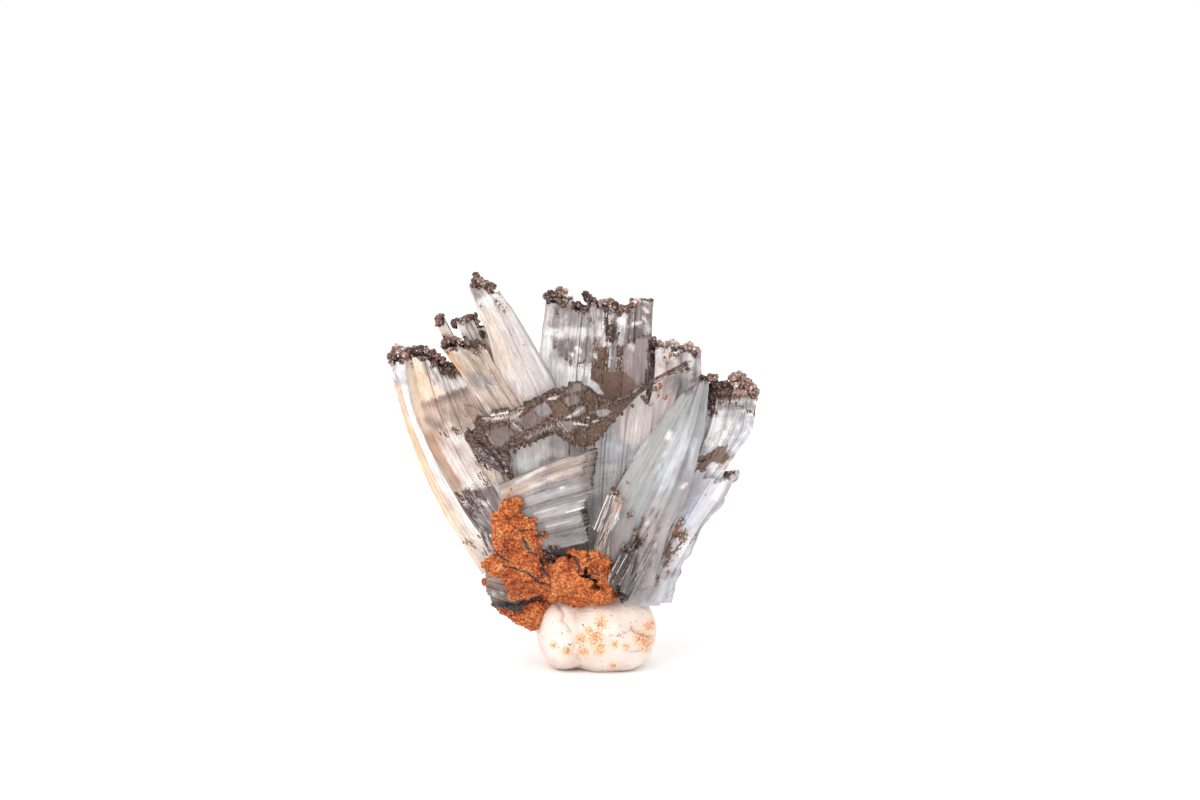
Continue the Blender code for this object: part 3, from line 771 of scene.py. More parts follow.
leftSheaf = {
    "name": "leftSheaf", "solid": "left_sheaf", "slot": "clear_barite", "finish": "glass", "colour": "milk",
    "fog": 0.94, "uneven": 0.05,
    "sheaves": [
        {"first": [(-12.6, 16.8), (-20, 24), (-27, 35.8), (-29.2, 46.6)], "last": [(-6, 16.8), (-9.4, 24),
         (-15.2, 35.6), (-20.2, 45.4)], "front": (-2.4, -2.2), "back": (4.4, 6.4),
         "tops": (0.9, 0.5, 0.7, -0.4, -0.2), "crusted": 0.7, "thin": 0.8, "seed": 5, "relief": 0.15,
         "cracks": 0.15, "mottled": 0.06, "steps": 0.5, "between": 2},
    ],
}
leftSheaf["strokes"] = [
    line("cream", 1.9, -27.8, 46, -27.2, 42, -26, 37.4, -24, 33, fog=0.98, soft=0.8, streaky=0.1),
    line("ivory", 1.4, -27.8, 45, -27, 41.6, -26.2, 38.6, soft=0.8, fog=1, streaky=0),
    line("amber", 0.7, -26.8, 37.4, -25.6, 34.4, -23.6, 30.4, soft=0.7, fog=1, streaky=0.3, much=0.5),
    line("peach", 1.2, -26, 43.4, -24.2, 40.6, -23.6, 40.6, fog=0.95, soft=0.7, streaky=0.4),
    line("amber", 0.35, -26.2, 41.4, -25.6, 39.4, -25.4, 38, fog=0.95, soft=0.4, much=0.7),
    # Painted shade: the taupe stroke darkens one facet near the top. The thin white stroke two lines below is a
    # painted highlight along it.
    line("taupe", 0.35, -26.4, 46.8, -25, 44, -24.4, 42.8, much=0.8, soft=0.3, streaky=0.7),
    line("smoke", 0.6, -24.9, 46.4, -24.2, 45, -23.5, 43.6, much=0.9, soft=0.3),
    line("white", 0.2, -25.7, 47.3, -24.2, 45, -22.9, 42.8, fog=0.85, soft=0.18),
    line("veil", 1.1, -22.6, 42.9, -20.6, 42.4, fog=0.9, soft=0.5),
    line("smoke", 1, -22.8, 45, -21, 44.6, much=0.7, fog=0.9),
    area("blush", -26.6, 39.6, -25, 40.4, -19.4, 42.4, -17.2, 39.4, -18.6, 36.6, -21, 35.4, -24.4, 35.6, fog=0.9,
        soft=0.4),
    line("umberVeil", 0.7, -25.6, 39.8, -22.8, 40.6, -19.6, 41.6, fog=0.9, soft=0.4, streaky=0.8),
    line("smoke", 0.35, -24, 40.4, -21.6, 41.3, -19.6, 42.2, much=0.85, soft=0.3),
    line("umberVeil", 1.1, -22.4, 38.4, -19.4, 38.8, much=0.6, soft=0.8, streaky=0.5),
    line("umberVeil", 0.7, -25.6, 37.6, -23.6, 36.4, much=0.85, soft=0.8),
    line("smoke", 0.4, -24.6, 37, -24, 36.6, much=0.8, soft=0.6),
    line("brown", 0.1, -20.8, 39.9, -18.6, 39.6, -17, 38.6, much=0.9, soft=0.15),
    area("clear", -22.8, 35, -18.4, 34.6, -15, 29, -18.4, 27.6, -20.6, 29.6, fog=0.95, soft=0.6, streaky=0.2),
    line("blush", 0.9, -24.6, 34.6, -23, 31, -21.2, 27.6, fog=0.9, soft=0.6),
    line("blush", 1, -23.4, 34, -21.2, 31.2, fog=0.96, soft=0.7, streaky=0.4),
    line("umberVeil", 0.35, -23.6, 33, -22, 30.6, fog=0.96, soft=0.5, much=0.6, streaky=0.8),
    line("umberVeil", 0.4, -24.4, 34, -22.6, 30.2, much=0.6, soft=0.5),
    line("amber", 0.9, -25, 35.4, -23.2, 31.4, -20.8, 27, fog=0.97, soft=0.7, much=0.45, streaky=0.5),
    line("blush", 0.7, -20.4, 33.2, -18.4, 30.4, fog=0.9, soft=0.8, much=0.7),
    line("pinkish", 0.9, -21.6, 31.6, -19.6, 29.4, fog=0.95, soft=0.5),
    line("pinkish", 0.5, -22.6, 32.8, -21.8, 31.8, much=0.9, soft=0.6),
    line("cream", 0.9, -16.8, 29.6, -14.4, 28.4, fog=0.9),
    area("lilacGrey", -20.4, 27, -15.4, 27.6, -14.6, 25, -14.8, 19, -18.6, 21.6, fog=0.92, soft=0.3),
    area("mauve", -18, 27, -15.4, 27.4, -14.8, 25, -16.4, 22.6, -17.6, 23.6, fog=0.9, soft=0.4, streaky=0.9),
    line("grey", 0.7, -17.8, 22.8, -15.6, 19, much=0.9, soft=0.4, streaky=0.6),
    line("white", 0.35, -17.8, 25.2, -16.6, 24.9, soft=0.2),
]
leftSheaf["coats"] = [
    area(0.2, -23.4, 46.2, -20.6, 46.2, -20.2, 44.4, -21.8, 43.8, -23.2, 44.6, cap=0.7, grit=0.5),
    line(0.4, 0.25, -23.2, 35.5, -22.6, 35.2), line(0.4, 0.3, -21.3, 36.1, -20.7, 35.4),
    area(0.3, -20.9, 26.6, -18.4, 27.2, -17.2, 26, -17.8, 23.6, -18.9, 23.2, -20.2, 25, cap=0.05, more=0.3),
    line(0.3, 0, -17, 25.4, -16.2, 27.2, -15.4, 27.6, cap=0.1), line(0.3, -0.1, -17.8, 24.6, -16.8, 23.4, cap=0.1),
    line(0.3, 0.1, -17.6, 29.3, -16.4, 28.2), line(0.4, 0, -17, 27.8, -13, 27.9, grit=0.3),
    area(0.35, -18.6, 33.4, -16.6, 34, -12.6, 33, -12.4, 28.4, -13.6, 29.4, -14.6, 30.4, -16, 30.1, -17.6, 31,
        cap=0.25, more=0.2),
]
growCrystal(leftSheaf)

stepPrisms = {
    "name": "stepPrisms", "solid": "step_prisms", "slot": "clear_barite", "finish": "glass", "colour": "milk",
    "fog": 0.86, "uneven": 0.08,
    "sheaves": [
        {"first": [(-15.2, 36.4), (-18.8, 42.2), (-23.1, 48.4)],
         "last": [(-9.1, 36.4), (-12.4, 41.2), (-16.6, 48.6)], "front": (-3.6, -4.2), "back": (0.2, -0.4),
         "tops": (0.1, 0.3, 0, 0.2), "crusted": 0.6, "seed": 7, "relief": 0.4, "cracks": 0.2, "colour": "sand"},
        {"first": [(-17.6, 40), (-21.6, 46.6), (-24.4, 52.6)], "last": [(-14.8, 40), (-19.4, 46.6), (-22.9, 53)],
         "front": (-1.4, -2), "back": (1.8, 1.2), "tops": (0.1,), "crusted": 0.4, "seed": 9},
        {"first": [(-14, 38), (-18.4, 46.4), (-21.3, 52.4)], "last": [(-9, 38), (-13.7, 46.4), (-17, 53.2)],
         "front": (-1.4, -1.6), "back": (2.6, 2.6), "tops": (0, 0.2, -1.8), "crusted": 0.3, "seed": 11},
    ],
}
stepPrisms["strokes"] = [
    line("amber", 0.55, -22.8, 48.6, -21, 45.8, -19.4, 43.2, fog=0.9, soft=0.35),
    line("white", 0.35, -21.4, 48.4, -20.5, 46.9, fog=0.85, soft=0.3),
    line("lilacGrey", 0.6, -20, 48, -18.6, 46, much=0.5, fog=0.9),
    line("sand", 0.9, -19.8, 46.4, -17.6, 43, fog=0.9, streaky=0.9),
    line("blush", 0.5, -17.6, 47.6, -15.2, 43.6, much=0.8, streaky=0.9, soft=0.4),
    line("sand", 0.4, -17, 49.4, -14.6, 44.8, much=0.9, soft=0.3),
    line("taupe", 1.3, -18.4, 43.8, -16.4, 42, -14.6, 39.6, much=0.9, fog=0.93, soft=0.8),
    line("blush", 1.4, -15.4, 43.4, -12.4, 39.2, much=0.8, fog=0.93, soft=0.7, streaky=0.9),
    line("steel", 0.7, -17.2, 43.6, -15.8, 43, much=0.8, soft=0.6),
    line("pinkish", 0.6, -17.7, 41.3, -17.1, 40.7, much=0.8, soft=0.6),
    line("blush", 0.9, -16.4, 40, -14.4, 38.6, much=0.8), line("cream", 0.6, -24, 51.6, -22.4, 49.8, fog=0.9),
]
stepPrisms["coats"] = [
    line(0.55, 0.3, -22.8, 49.7, -20.4, 49.6, more=0.2, grit=0.4),
    area(0.1, -19.8, 49.6, -17.6, 49.4, -17.4, 48.4, -18.6, 47.8, -19.4, 48.4, grit=0.5),
    line(0.2, 0.3, -17.3, 50.6, -17, 50.4),
]
stepPrisms["rust"] = [spot(0.25, -22.6, 49.8, -21, 49.8)]
growCrystal(stepPrisms)

tallPrism = {
    "name": "tallPrism", "solid": "tall_prism", "slot": "clear_barite", "finish": "glass", "colour": "shell",
    "fog": 0.92, "uneven": 0.05,
    "sheaves": [
        {"first": [(-13.2, 36.6), (-14, 39.8), (-16.4, 50.3), (-19.1, 57.6)], "last": [(-3.2, 36.6), (-6.4, 43),
         (-11.8, 52.5), (-14.8, 57)], "front": (-2.6, -3.4), "back": (3.2, 1.4), "tops": (0, 0, -0.9), "seed": 13,
         "striae": 0.26, "steps": 0.7, "relief": 0.4, "cracks": 0.3},
    ],
}
tallPrism["strokes"] = [
    line("shell", 2.6, -14.6, 51, -10, 43, fog=0.95, soft=1.2),
    line("sand", 0.7, -15.4, 44.6, -13.8, 39.4, much=0.8, fog=0.95),
    line("cream", 1, -17, 53.6, -14.8, 48.6, -13.6, 45, much=0.8, fog=0.9, soft=0.9),
    line("blush", 0.25, -17.7, 52.6, -16.2, 48.6, -14.6, 44.4, much=0.7, soft=0.25),
    line("sand", 0.2, -16, 50.4, -14.4, 46.6, much=0.7, soft=0.2),
    line("amber", 0.08, -14.3, 45.9, -13, 45.2, -11.5, 45.7, much=0.9, soft=0.15),
    line("steel", 0.12, -12.3, 47.4, -10.6, 44.8, -9, 42.6, much=0.8, soft=0.15),
    line("paleGrey", 0.5, -12.6, 52.6, -9.4, 46.4, -7.6, 43.2, much=0.9, soft=0.5),
    line("veil", 0.7, -10.6, 45.4, -8.6, 42, fog=0.85, soft=0.5),
    line("milk", 0.5, -13.2, 44, -11.2, 41, fog=0.85, soft=0.4),
    line("blush", 0.12, -13.2, 42.6, -11.6, 40, much=0.8, soft=0.15),
    line("blush", 0.1, -12.2, 42, -10.8, 39.8, much=0.8, soft=0.15),
    line("taupe", 0.5, -14.4, 42.4, -13.4, 40, much=0.5, soft=0.6),
    area("lilacGrey", -19.4, 57.8, -17.2, 57.6, -16.8, 55.8, -18.2, 55.4, fog=0.85, soft=0.3),
    # Painted glints: the white stroke below the tip crust.
    line("white", 0.7, -17, 55.2, -15.8, 56, fog=0.85, soft=0.4),
]
tallPrism["coats"] = [line(0.6, 0.1, -15.1, 55.3, -14.6, 54.9), line(0.4, 0, -14, 54.2), line(0.4, 0, -17.4, 54.6)]
tallPrism["rust"] = [spot(0.12, -10.8, 49, -10.6, 48.7)]
growCrystal(tallPrism)

topBlock = {
    "name": "topBlock", "solid": "top_block", "slot": "clear_barite", "finish": "glass", "colour": "veil",
    "fog": 0.86, "uneven": 0.04,
    "sheaves": [
        {"first": [(-9.4, 32), (-8.9, 45), (-7.8, 54.8)], "last": [(6, 32), (7.8, 43), (8.5, 54.2)],
         "front": (-0.6, 0.4), "back": (6.2, 8.8), "tops": (0.3, 0.9, -0.7, 0.4, -0.1, -0.3, 0.7, 0.7),
         "crusted": 0.25, "thin": 1, "seed": 17, "ragged": 0.35, "relief": 0.22, "cracks": 0.12, "between": 2,
         "mottled": 0.08, "striae": 0.2},
        {"first": [(3.4, 34), (3.6, 40), (3.9, 48.8)], "last": [(6.6, 34), (7.3, 40), (7.7, 48.8)],
         "front": (-2.4, -2), "back": (0.8, 1.4), "tops": (0.2, 1), "seed": 19, "colour": "mauve", "fog": 0.96,
         "striae": 0.5, "steps": 0.3, "relief": 0.4, "cracks": 0.3, "mottled": 0.05},
        {"first": [(7.2, 40), (7.6, 43.4), (8, 49.4)], "last": [(8.3, 40), (8.6, 43.4), (9, 48.6)],
         "front": (0.4, 0.2), "back": (2.4, 2.6), "tops": (0.2,), "seed": 20, "colour": "taupe", "fog": 0.95,
         "painted": False, "crusted": 1.6},
    ],
}
topBlock["strokes"] = [
    line("white", 1, -8.2, 44, -7.6, 49, fog=0.94, soft=0.5, streaky=0.4),
    line("milk", 0.6, -7.5, 54, -7.7, 51, soft=0.3),
    area("grey", -6.8, 51.2, -6.5, 54.6, -2.4, 54.8, -0.6, 53.6, -0.9, 51.6, -2.2, 51.2, -4, 51.5, soft=0.2,
        streaky=0.9),
    area("lilacGrey", -6, 54.4, -2.6, 54.6, 1, 54.8, 0.9, 52.4, -1.6, 52.8, -3.2, 52, -5.8, 52.6, much=0.8,
        soft=0.25, streaky=1),
    # Painted highlights: the thin white lines and spots from here on in this list.
    line("white", 0.55, -7.4, 50.7, -5.6, 50.5, soft=0.25), line("white", 0.45, -2.3, 50.9, -2.1, 49.8, soft=0.15),
    line("milk", 0.5, -4.6, 50.9, -3.2, 50.4, much=0.8, soft=0.3),
    line("white", 0.3, 0.5, 51.8, 0.3, 49.8, soft=0.15),
    area("grey", -6.8, 49.7, -3, 50, -2.8, 46.6, -5.8, 46.4, -6.6, 47.8, soft=0.3, streaky=0.9),
    area("slate", -6.2, 49.2, -4.6, 49.8, -3.4, 49.4, -3.3, 47.2, -4.6, 46.6, -5.8, 47.4, soft=0.2, streaky=1,
        much=0.8),
    area("taupe", -1.9, 50, 0.9, 50, 1, 46.8, -0.6, 45.8, -2.4, 46.2, -2.6, 48.4, soft=0.2, streaky=0.9, much=0.9),
    line("smoke", 0.5, -1.2, 48.4, 0.4, 47, much=0.6, soft=0.4, streaky=1.2),
    line("white", 0.35, -3, 48.3, -2.6, 47.8, soft=0.1), line("white", 0.28, -3.7, 47.3, soft=0.1),
    line("white", 0.16, -0.4, 47.4, -0.2, 46.9, soft=0.1), line("milk", 0.16, -5.2, 46.9, -4.6, 46.6, soft=0.1),
    line("ink", 0.07, -4.15, 49.4, -4.1, 46.9, soft=0.08),
    area("white", -6.4, 46.4, -4.6, 45.6, -2.6, 45.4, -0.9, 44.8, -0.8, 43.4, 0.2, 42.2, 1.2, 40, -6.4, 40.4,
        soft=0.15, streaky=0.4),
    area("white", -9.4, 51.4, -7, 49.4, -6.2, 46, -6.4, 42, -9.4, 42, soft=0.4, streaky=0.6, much=0.8),
    line("steel", 0.05, -6.1, 46, -6.2, 42, much=0.7, soft=0.08),
    line("steel", 0.05, -7, 48, -7.1, 43, much=0.6, soft=0.08),
    line("steel", 0.04, -3, 45.4, -2.9, 41.6, much=0.6, soft=0.08),
    line("steel", 0.05, -1.7, 44.8, -1.6, 42, much=0.5, soft=0.08),
    area("steel", 2.05, 54.6, 3.1, 54.4, 3.1, 49.6, 2.9, 44.7, 2.1, 44.6, soft=0.1, streaky=0.2),
    line("smoke", 0.45, 2.5, 51.8, 2.4, 50.2, much=0.9, soft=0.3),
    line("white", 0.5, 3.5, 52.4, 4, 52.2, soft=0.12),
    area("frost", 3.3, 51.8, 4.3, 51.5, 4.3, 50.4, 3.3, 50.2, soft=0.12),
    line("veil", 0.4, 3.7, 49.6, 3.6, 48.6, soft=0.2),
    area("taupe", 4.3, 56.2, 8.7, 56, 8.7, 51.4, 4.4, 51.6, soft=0.15, streaky=0.5),
    area("mauve", 4.5, 54.4, 6, 54.4, 6.4, 52.2, 4.6, 52, soft=0.2, streaky=0.6, much=0.8),
    line("veil", 0.3, 5, 55.2, 6, 55.5, 7.6, 55.2, soft=0.12), line("white", 0.2, 6.9, 52.9, 7.4, 52.3, soft=0.1),
    line("white", 0.25, 5.4, 51.9, 6.6, 52.1, soft=0.12), line("white", 0.2, 7, 54.4, 7.6, 53.6, soft=0.15),
    line("smoke", 0.2, 7.6, 53.2, 7.2, 51.4, much=0.7, soft=0.2),
    area("mauve", 4.3, 51.4, 7.4, 51.4, 7.9, 50, 7.6, 45.6, 7.2, 43, 5.9, 43.2, 3.7, 45, 3.9, 48.4, soft=0.08,
        streaky=0.05),
    line("milk", 0.25, 5.2, 49, 5.4, 48.2, soft=0.15, much=0.8),
    line("taupe", 0.6, 4.6, 45.9, 6.6, 44.6, much=0.4, soft=0.6),
    area("clear", 2.6, 33, 3, 39, 5.4, 40.4, 7.2, 42.4, 9.8, 42.8, 9.8, 33, soft=0.25, streaky=0.3, fog=0.95),
]
topBlock["coats"] = [
    line(0.2, 0.4, 1.5, 55, 1.4, 52.4, 1.5, 50.4, cap=0.5, grit=0.3),
    area(0.25, 1.1, 52, 2.4, 52.2, 3.2, 50.8, 2.9, 49.2, 1.4, 49.4, cap=0.3, grit=0.3),
    line(0.3, 0.2, 2.8, 54.8, 2.9, 53.6, cap=0.3),
    line(0.4, 0.15, -6.2, 48.6, -5.4, 46.9, -3.4, 46.2, -1.6, 46.1, cap=0.25),
    line(0.45, 0.05, 5.2, 53.6, 5.9, 53.3), line(0.45, 0.1, 5.2, 51.5, 6, 51.3), line(0.5, 0, 7.2, 53, 8, 53.2),
    line(0.4, 0.1, -2, 53.6, -0.8, 52.2, cap=0.15), line(0.4, 0.05, -6.4, 54.2, -5.8, 53.2),
    area(0.45, -0.2, 48.2, 1.7, 48.6, 1.9, 44.6, 0.7, 44.4, -0.8, 45, -0.9, 46.2, 0.1, 46.8, cap=0.5, grit=0.1),
    area(0.4, 2.9, 48.6, 4, 48.4, 3.7, 47, 3.6, 44.6, 2.9, 44.6, cap=0.6, grit=0.15),
    area(0.57, -0.9, 45.2, 0.7, 45, 2.1, 44.6, 3.7, 44.9, 5.2, 43.7, 6, 42.8, 4.2, 41.4, 2.6, 40.6, 1.3, 40.3,
        1, 41.8, 0.3, 43, -0.9, 43.6, more=0.1, crisp=3),
    line(0.1, 0.08, 8, 44.6, 7.9, 43.4, 6, 42.2, 4.4, 41.2, 2, 40.6, cap=2, crisp=3),
    line(0.15, 0.08, 7.3, 42.8, 7.8, 46, 8.1, 50, cap=0.6),
]
topBlock["rust"] = [spot(0.1, -5.8, 54.9, -5, 54.4), spot(0, 6, 54.6), spot(-0.1, 0.5, 48.4, 1.6, 48.2)]
growCrystal(topBlock)

upperRightBlock = {
    "name": "upperRightBlock", "solid": "upper_right_block", "slot": "clear_barite", "finish": "glass",
    "colour": "pinkish", "fog": 0.88, "uneven": 0.08,
    "sheaves": [
        {"first": [(3.6, 28), (7.9, 41), (8.6, 48.3)], "last": [(9.8, 28), (15.2, 41), (15.6, 47.2)],
         "front": (-2.4, -1.2), "back": (3.6, 5.4), "tops": (0.2, 0.7, 0.3, 0.6), "seed": 23, "crusted": 0.1,
         "relief": 0.4, "cracks": 0.2, "mottled": 0.06},
    ],
}
upperRightBlock["strokes"] = [
    area("white", 8.6, 49.6, 15.4, 49.4, 15.2, 46.6, 9, 46.8, fog=0.85, soft=0.4, streaky=0.9),
    line("white", 0.5, 9.4, 48.2, 9.9, 47.5, fog=0.85, soft=0.3),
    line("white", 0.5, 13.4, 47.9, 13.8, 47.4, fog=0.85, soft=0.3),
    line("white", 0.35, 11.4, 49, fog=0.85, soft=0.3),
    area("pinkish", 8.3, 46.8, 10.8, 46.6, 11.4, 44.6, 10.4, 43.6, 8.2, 43.4, fog=0.88, soft=0.4, streaky=0.9),
    line("brown", 0.1, 11, 44.9, 13.2, 46, 15.4, 46.8, soft=0.1, much=0.9),
    line("taupe", 0.4, 10.9, 46, 11.2, 44.8, much=0.6), line("paleGrey", 0.8, 12.6, 46.6, 12.4, 43.4, fog=0.9),
    line("mist", 0.5, 14.9, 48, 14.6, 43.8, fog=0.9, soft=0.3),
    line("white", 0.15, 14.4, 46.8, 14.2, 43.8, soft=0.2),
    line("grey", 0.9, 11.4, 43.6, 12.2, 41.6, fog=0.9, much=0.8),
    area("clear", 3, 38.2, 5.8, 40.6, 9.2, 42.2, 11, 41, 6.8, 34, 2.6, 34.4, fog=0.96, soft=0.4, streaky=0.3),
    line("milk", 0.8, 7.2, 40.4, 6.8, 37.6, 5.8, 34.8, fog=0.93, soft=0.5),
]
upperRightBlock["coats"] = [
    line(0.5, 0.15, 12, 48.5, 12.8, 48.3), line(0.5, 0.1, 11, 47.2, 12, 47.1),
    line(0.45, 0.15, 11.5, 44.9, 12.4, 44.8), line(0.35, 0.3, 13.2, 45.2, 13.8, 45.1),
    line(0.4, 0, 10.1, 46.9, 10.5, 45.9),
]
upperRightBlock["rust"] = [
    spot(0, 10, 47.7, 10.9, 47.4), spot(0.1, 14.7, 47.6), spot(0.15, 9.4, 42.8, 9.6, 42.4),
    spot(0.2, 10.6, 41.4, 10.2, 40.6), spot(0, 9.2, 41.8, 9.3, 40.9), spot(0, 13.1, 43.5), spot(-0.1, 9.8, 39.3),
    spot(-0.25, 5.6, 37.2, 6.1, 36.4, 6.3, 38.2),
]
growCrystal(upperRightBlock)

rightBlock = {
    "name": "rightBlock", "solid": "right_block", "slot": "clear_barite", "finish": "glass", "colour": "lobeWhite",
    "fog": 0.8, "uneven": 0.06,
    "sheaves": [
        {"first": [(8, 22), (12.4, 30.5), (14.7, 37), (15.8, 42.4)], "last": [(15.8, 24.2), (20.4, 31.4),
         (23.2, 35.8), (24.1, 41.4)], "front": (-2.6, -4.2), "back": (4, 2.6), "tops": (0.2, 0.4, 0.9, 0.4),
         "crusted": 0.8, "thin": 1.2, "seed": 29, "relief": 0.4, "cracks": 0.3, "mottled": 0.05, "between": 2},
    ],
}
rightBlock["strokes"] = [
    area("lilacGrey", 16.2, 30, 20, 32.6, 20.6, 31, 18.2, 29.4, soft=0.3, streaky=0.7),
    area("taupe", 19.6, 43.8, 24.4, 42.4, 24.2, 40.4, 19.6, 40.6, fog=0.9, soft=0.4, streaky=0.8),
    line("steel", 0.8, 18.6, 39.8, 21.4, 39.2, 24, 39.4, fog=0.9, soft=0.5, streaky=0.8),
    line("white", 0.5, 22, 39, 23.6, 38.4, fog=0.85, soft=0.3),
    line("white", 1.2, 18.4, 37.4, 18.2, 34.6, fog=0.85, soft=0.7),
    line("frost", 1, 22.2, 37, 21.2, 33.8, fog=0.85, soft=0.7),
    line("paleGrey", 0.3, 20.1, 38.6, 19.8, 33.4, much=0.9, fog=0.9, soft=0.3),
    line("steel", 0.35, 17.4, 38.2, 18.4, 38.1, 20.4, 38.2, 23.4, 37, much=0.5, fog=0.9, soft=0.4),
    line("grey", 0.6, 19.6, 32.4, 20.8, 31.6, fog=0.9),
    line("white", 0.8, 17, 30.9, 18.4, 29.6, fog=0.85, soft=0.3),
    line("pinkish", 0.4, 19, 30.8, 19.8, 31.2, fog=0.9),
]
rightBlock["coats"] = [
    area(0.35, 15.4, 44, 17.6, 44.2, 17.6, 40.2, 17.8, 38.4, 17, 38.2, 16.8, 40.4, 16.2, 42.4, grit=0.4, more=0.1),
    area(0.45, 17, 43.6, 19.8, 43.4, 20.4, 41.6, 23, 41.2, 21.8, 40.9, 18.6, 40.2, 17.2, 40.6, grit=0.4, cap=0.8),
    line(0.35, 0.05, 18.4, 40.1, 20.3, 39.9, 22.2, 39.3, 24.1, 38.1, more=0.12),
    area(0.62, 15.3, 32, 16.4, 32.2, 18.1, 33.3, 19.5, 33.8, 19.2, 32.6, 19.9, 31.8, 18.9, 31, 18.1, 31.3,
        17.1, 31.2, 16.4, 30.5, 16.1, 29.4, 15.3, 28.2, 14.8, 29.4, 15.1, 31, cap=0.95, crisp=2.5, more=0.1),
    area(0.3, 15.3, 32, 16.4, 32.2, 18.1, 33.3, 17.6, 32.2, 16.6, 31.4, 15.8, 30, 14.9, 29, cap=1, crisp=2.5,
        more=-0.1),
    line(0.3, 0.15, 15.1, 31.6, 15.6, 30.2, 14.9, 28.4, 14.2, 27.7, 13.2, 27.2, cap=0.4),
]
rightBlock["rust"] = [spot(0.3, 18.4, 42.9, 18.9, 42.5), spot(-0.1, 19.8, 41.6, 22.6, 41.4)]
growCrystal(rightBlock)

lowerRightSheaf = {
    "name": "lowerRightSheaf", "solid": "lower_right_sheaf", "slot": "grey_barite", "finish": "smooth",
    "colour": "lobeGrey", "fog": 0.92, "uneven": 0.04,
    "sheaves": [
        {"first": [(2.6, 9), (6.4, 15.5), (9.6, 22), (13.6, 30.2)], "last": [(10.9, 9.4), (13.3, 15.8), (17.2, 22),
         (21.7, 28.6)], "front": (-4.8, -4.4), "back": (5, 5.6), "tops": (0, 0.3, -0.4, -0.6, 0.2), "thin": 2.6,
         "seed": 31, "ragged": 1.1, "bays": 2, "striae": 0.5, "steps": 1.2, "relief": 0.3, "cracks": 0.1,
         "mottled": 0.03, "between": 2},
    ],
}
lowerRightSheaf["strokes"] = [
    line("lobeWhite", 2.2, 19, 28.8, 16.8, 25, soft=0.8, streaky=0.2),
    line("white", 0.5, 18.6, 27.6, 17.8, 26, soft=0.6), line("ice", 0.9, 15, 25.4, 13.4, 22, soft=0.4, much=0.8),
    line("lobeWhite", 0.9, 17, 23.6, 15.6, 21, soft=0.5),
    # Painted shade: the lilac-grey, mauve and slate strokes that run along the edges of the lobes.
    line("lilacGrey", 0.3, 19.9, 27.6, 18.4, 24.6, 16.6, 22.4, much=0.5, soft=0.3, streaky=0.8),
    line("mauve", 0.18, 16.6, 22.6, 15.8, 20.8, 14.8, 19.4, 13.6, 17.2, much=0.7, soft=0.2, streaky=0.9),
    line("lobeWhite", 1.2, 14, 20.4, 12.2, 16.4, soft=0.4, streaky=0.2),
    line("white", 0.4, 13.6, 19.4, 12.4, 17.2, soft=0.5), line("pinkish", 0.5, 20, 29.4, 20, 28.2, much=0.9),
    line("mauve", 0.35, 13.4, 15.6, 11.6, 14.6, 10.2, 13.8, much=0.8, soft=0.3, streaky=1.1),
    line("mauve", 0.2, 12.8, 14.8, 12.4, 12.8, 11.4, 11.2, much=0.6, soft=0.2, streaky=0.9),
    line("lobeWhite", 0.8, 11.4, 13.2, 10, 10.6, soft=0.5),
    line("lilacGrey", 0.5, 8.6, 12.8, 7.4, 10.4, much=0.7, soft=0.5),
    line("lilacGrey", 0.7, 14, 28, 12, 24, 10.4, 19.6, 9, 15.6, soft=0.4, streaky=1.1),
    line("slate", 0.2, 13.4, 27.4, 11.4, 23, much=0.7, soft=0.2, streaky=0.9),
    area("grey", 9, 19, 10.6, 19, 9.4, 13, 8, 10.4, 4, 10, soft=0.5),
    line("milk", 0.3, 12.8, 20.2, 12.2, 19.4, soft=0.2), line("milk", 0.3, 11.4, 17.8, 10.8, 16.8, soft=0.2),
]
lowerRightSheaf["coats"] = [
    area(0.5, 12.6, 22.5, 12, 20.8, 13.4, 21, 13.5, 20, 12.6, 18.6, 11.2, 16.6, 10.3, 15.9, 10.2, 17, 10.4, 18.6,
        11, 20, cap=0.35, more=0.25),
    area(None, 11.4, 19.6, 12.4, 19.8, 12.2, 18.6, 11.4, 17.6, 11, 18.4, hole=True, crisp=1.5),
    line(0.5, 0.15, 9, 13.9, 8.8, 12.8, cap=0.15), line(0.5, 0.1, 19.9, 29.9, 19.6, 28.9), line(0.3, 0, 16.5, 26.3),
    line(0.4, -0.1, 10.6, 10.8, 11.2, 12.2), line(0.5, 0, 11.8, 15, 10.6, 14.6),
]
lowerRightSheaf["rust"] = [spot(0.1, 12.4, 22.3, 11.8, 20.6), spot(0, 13.2, 20.9)]
growCrystal(lowerRightSheaf)

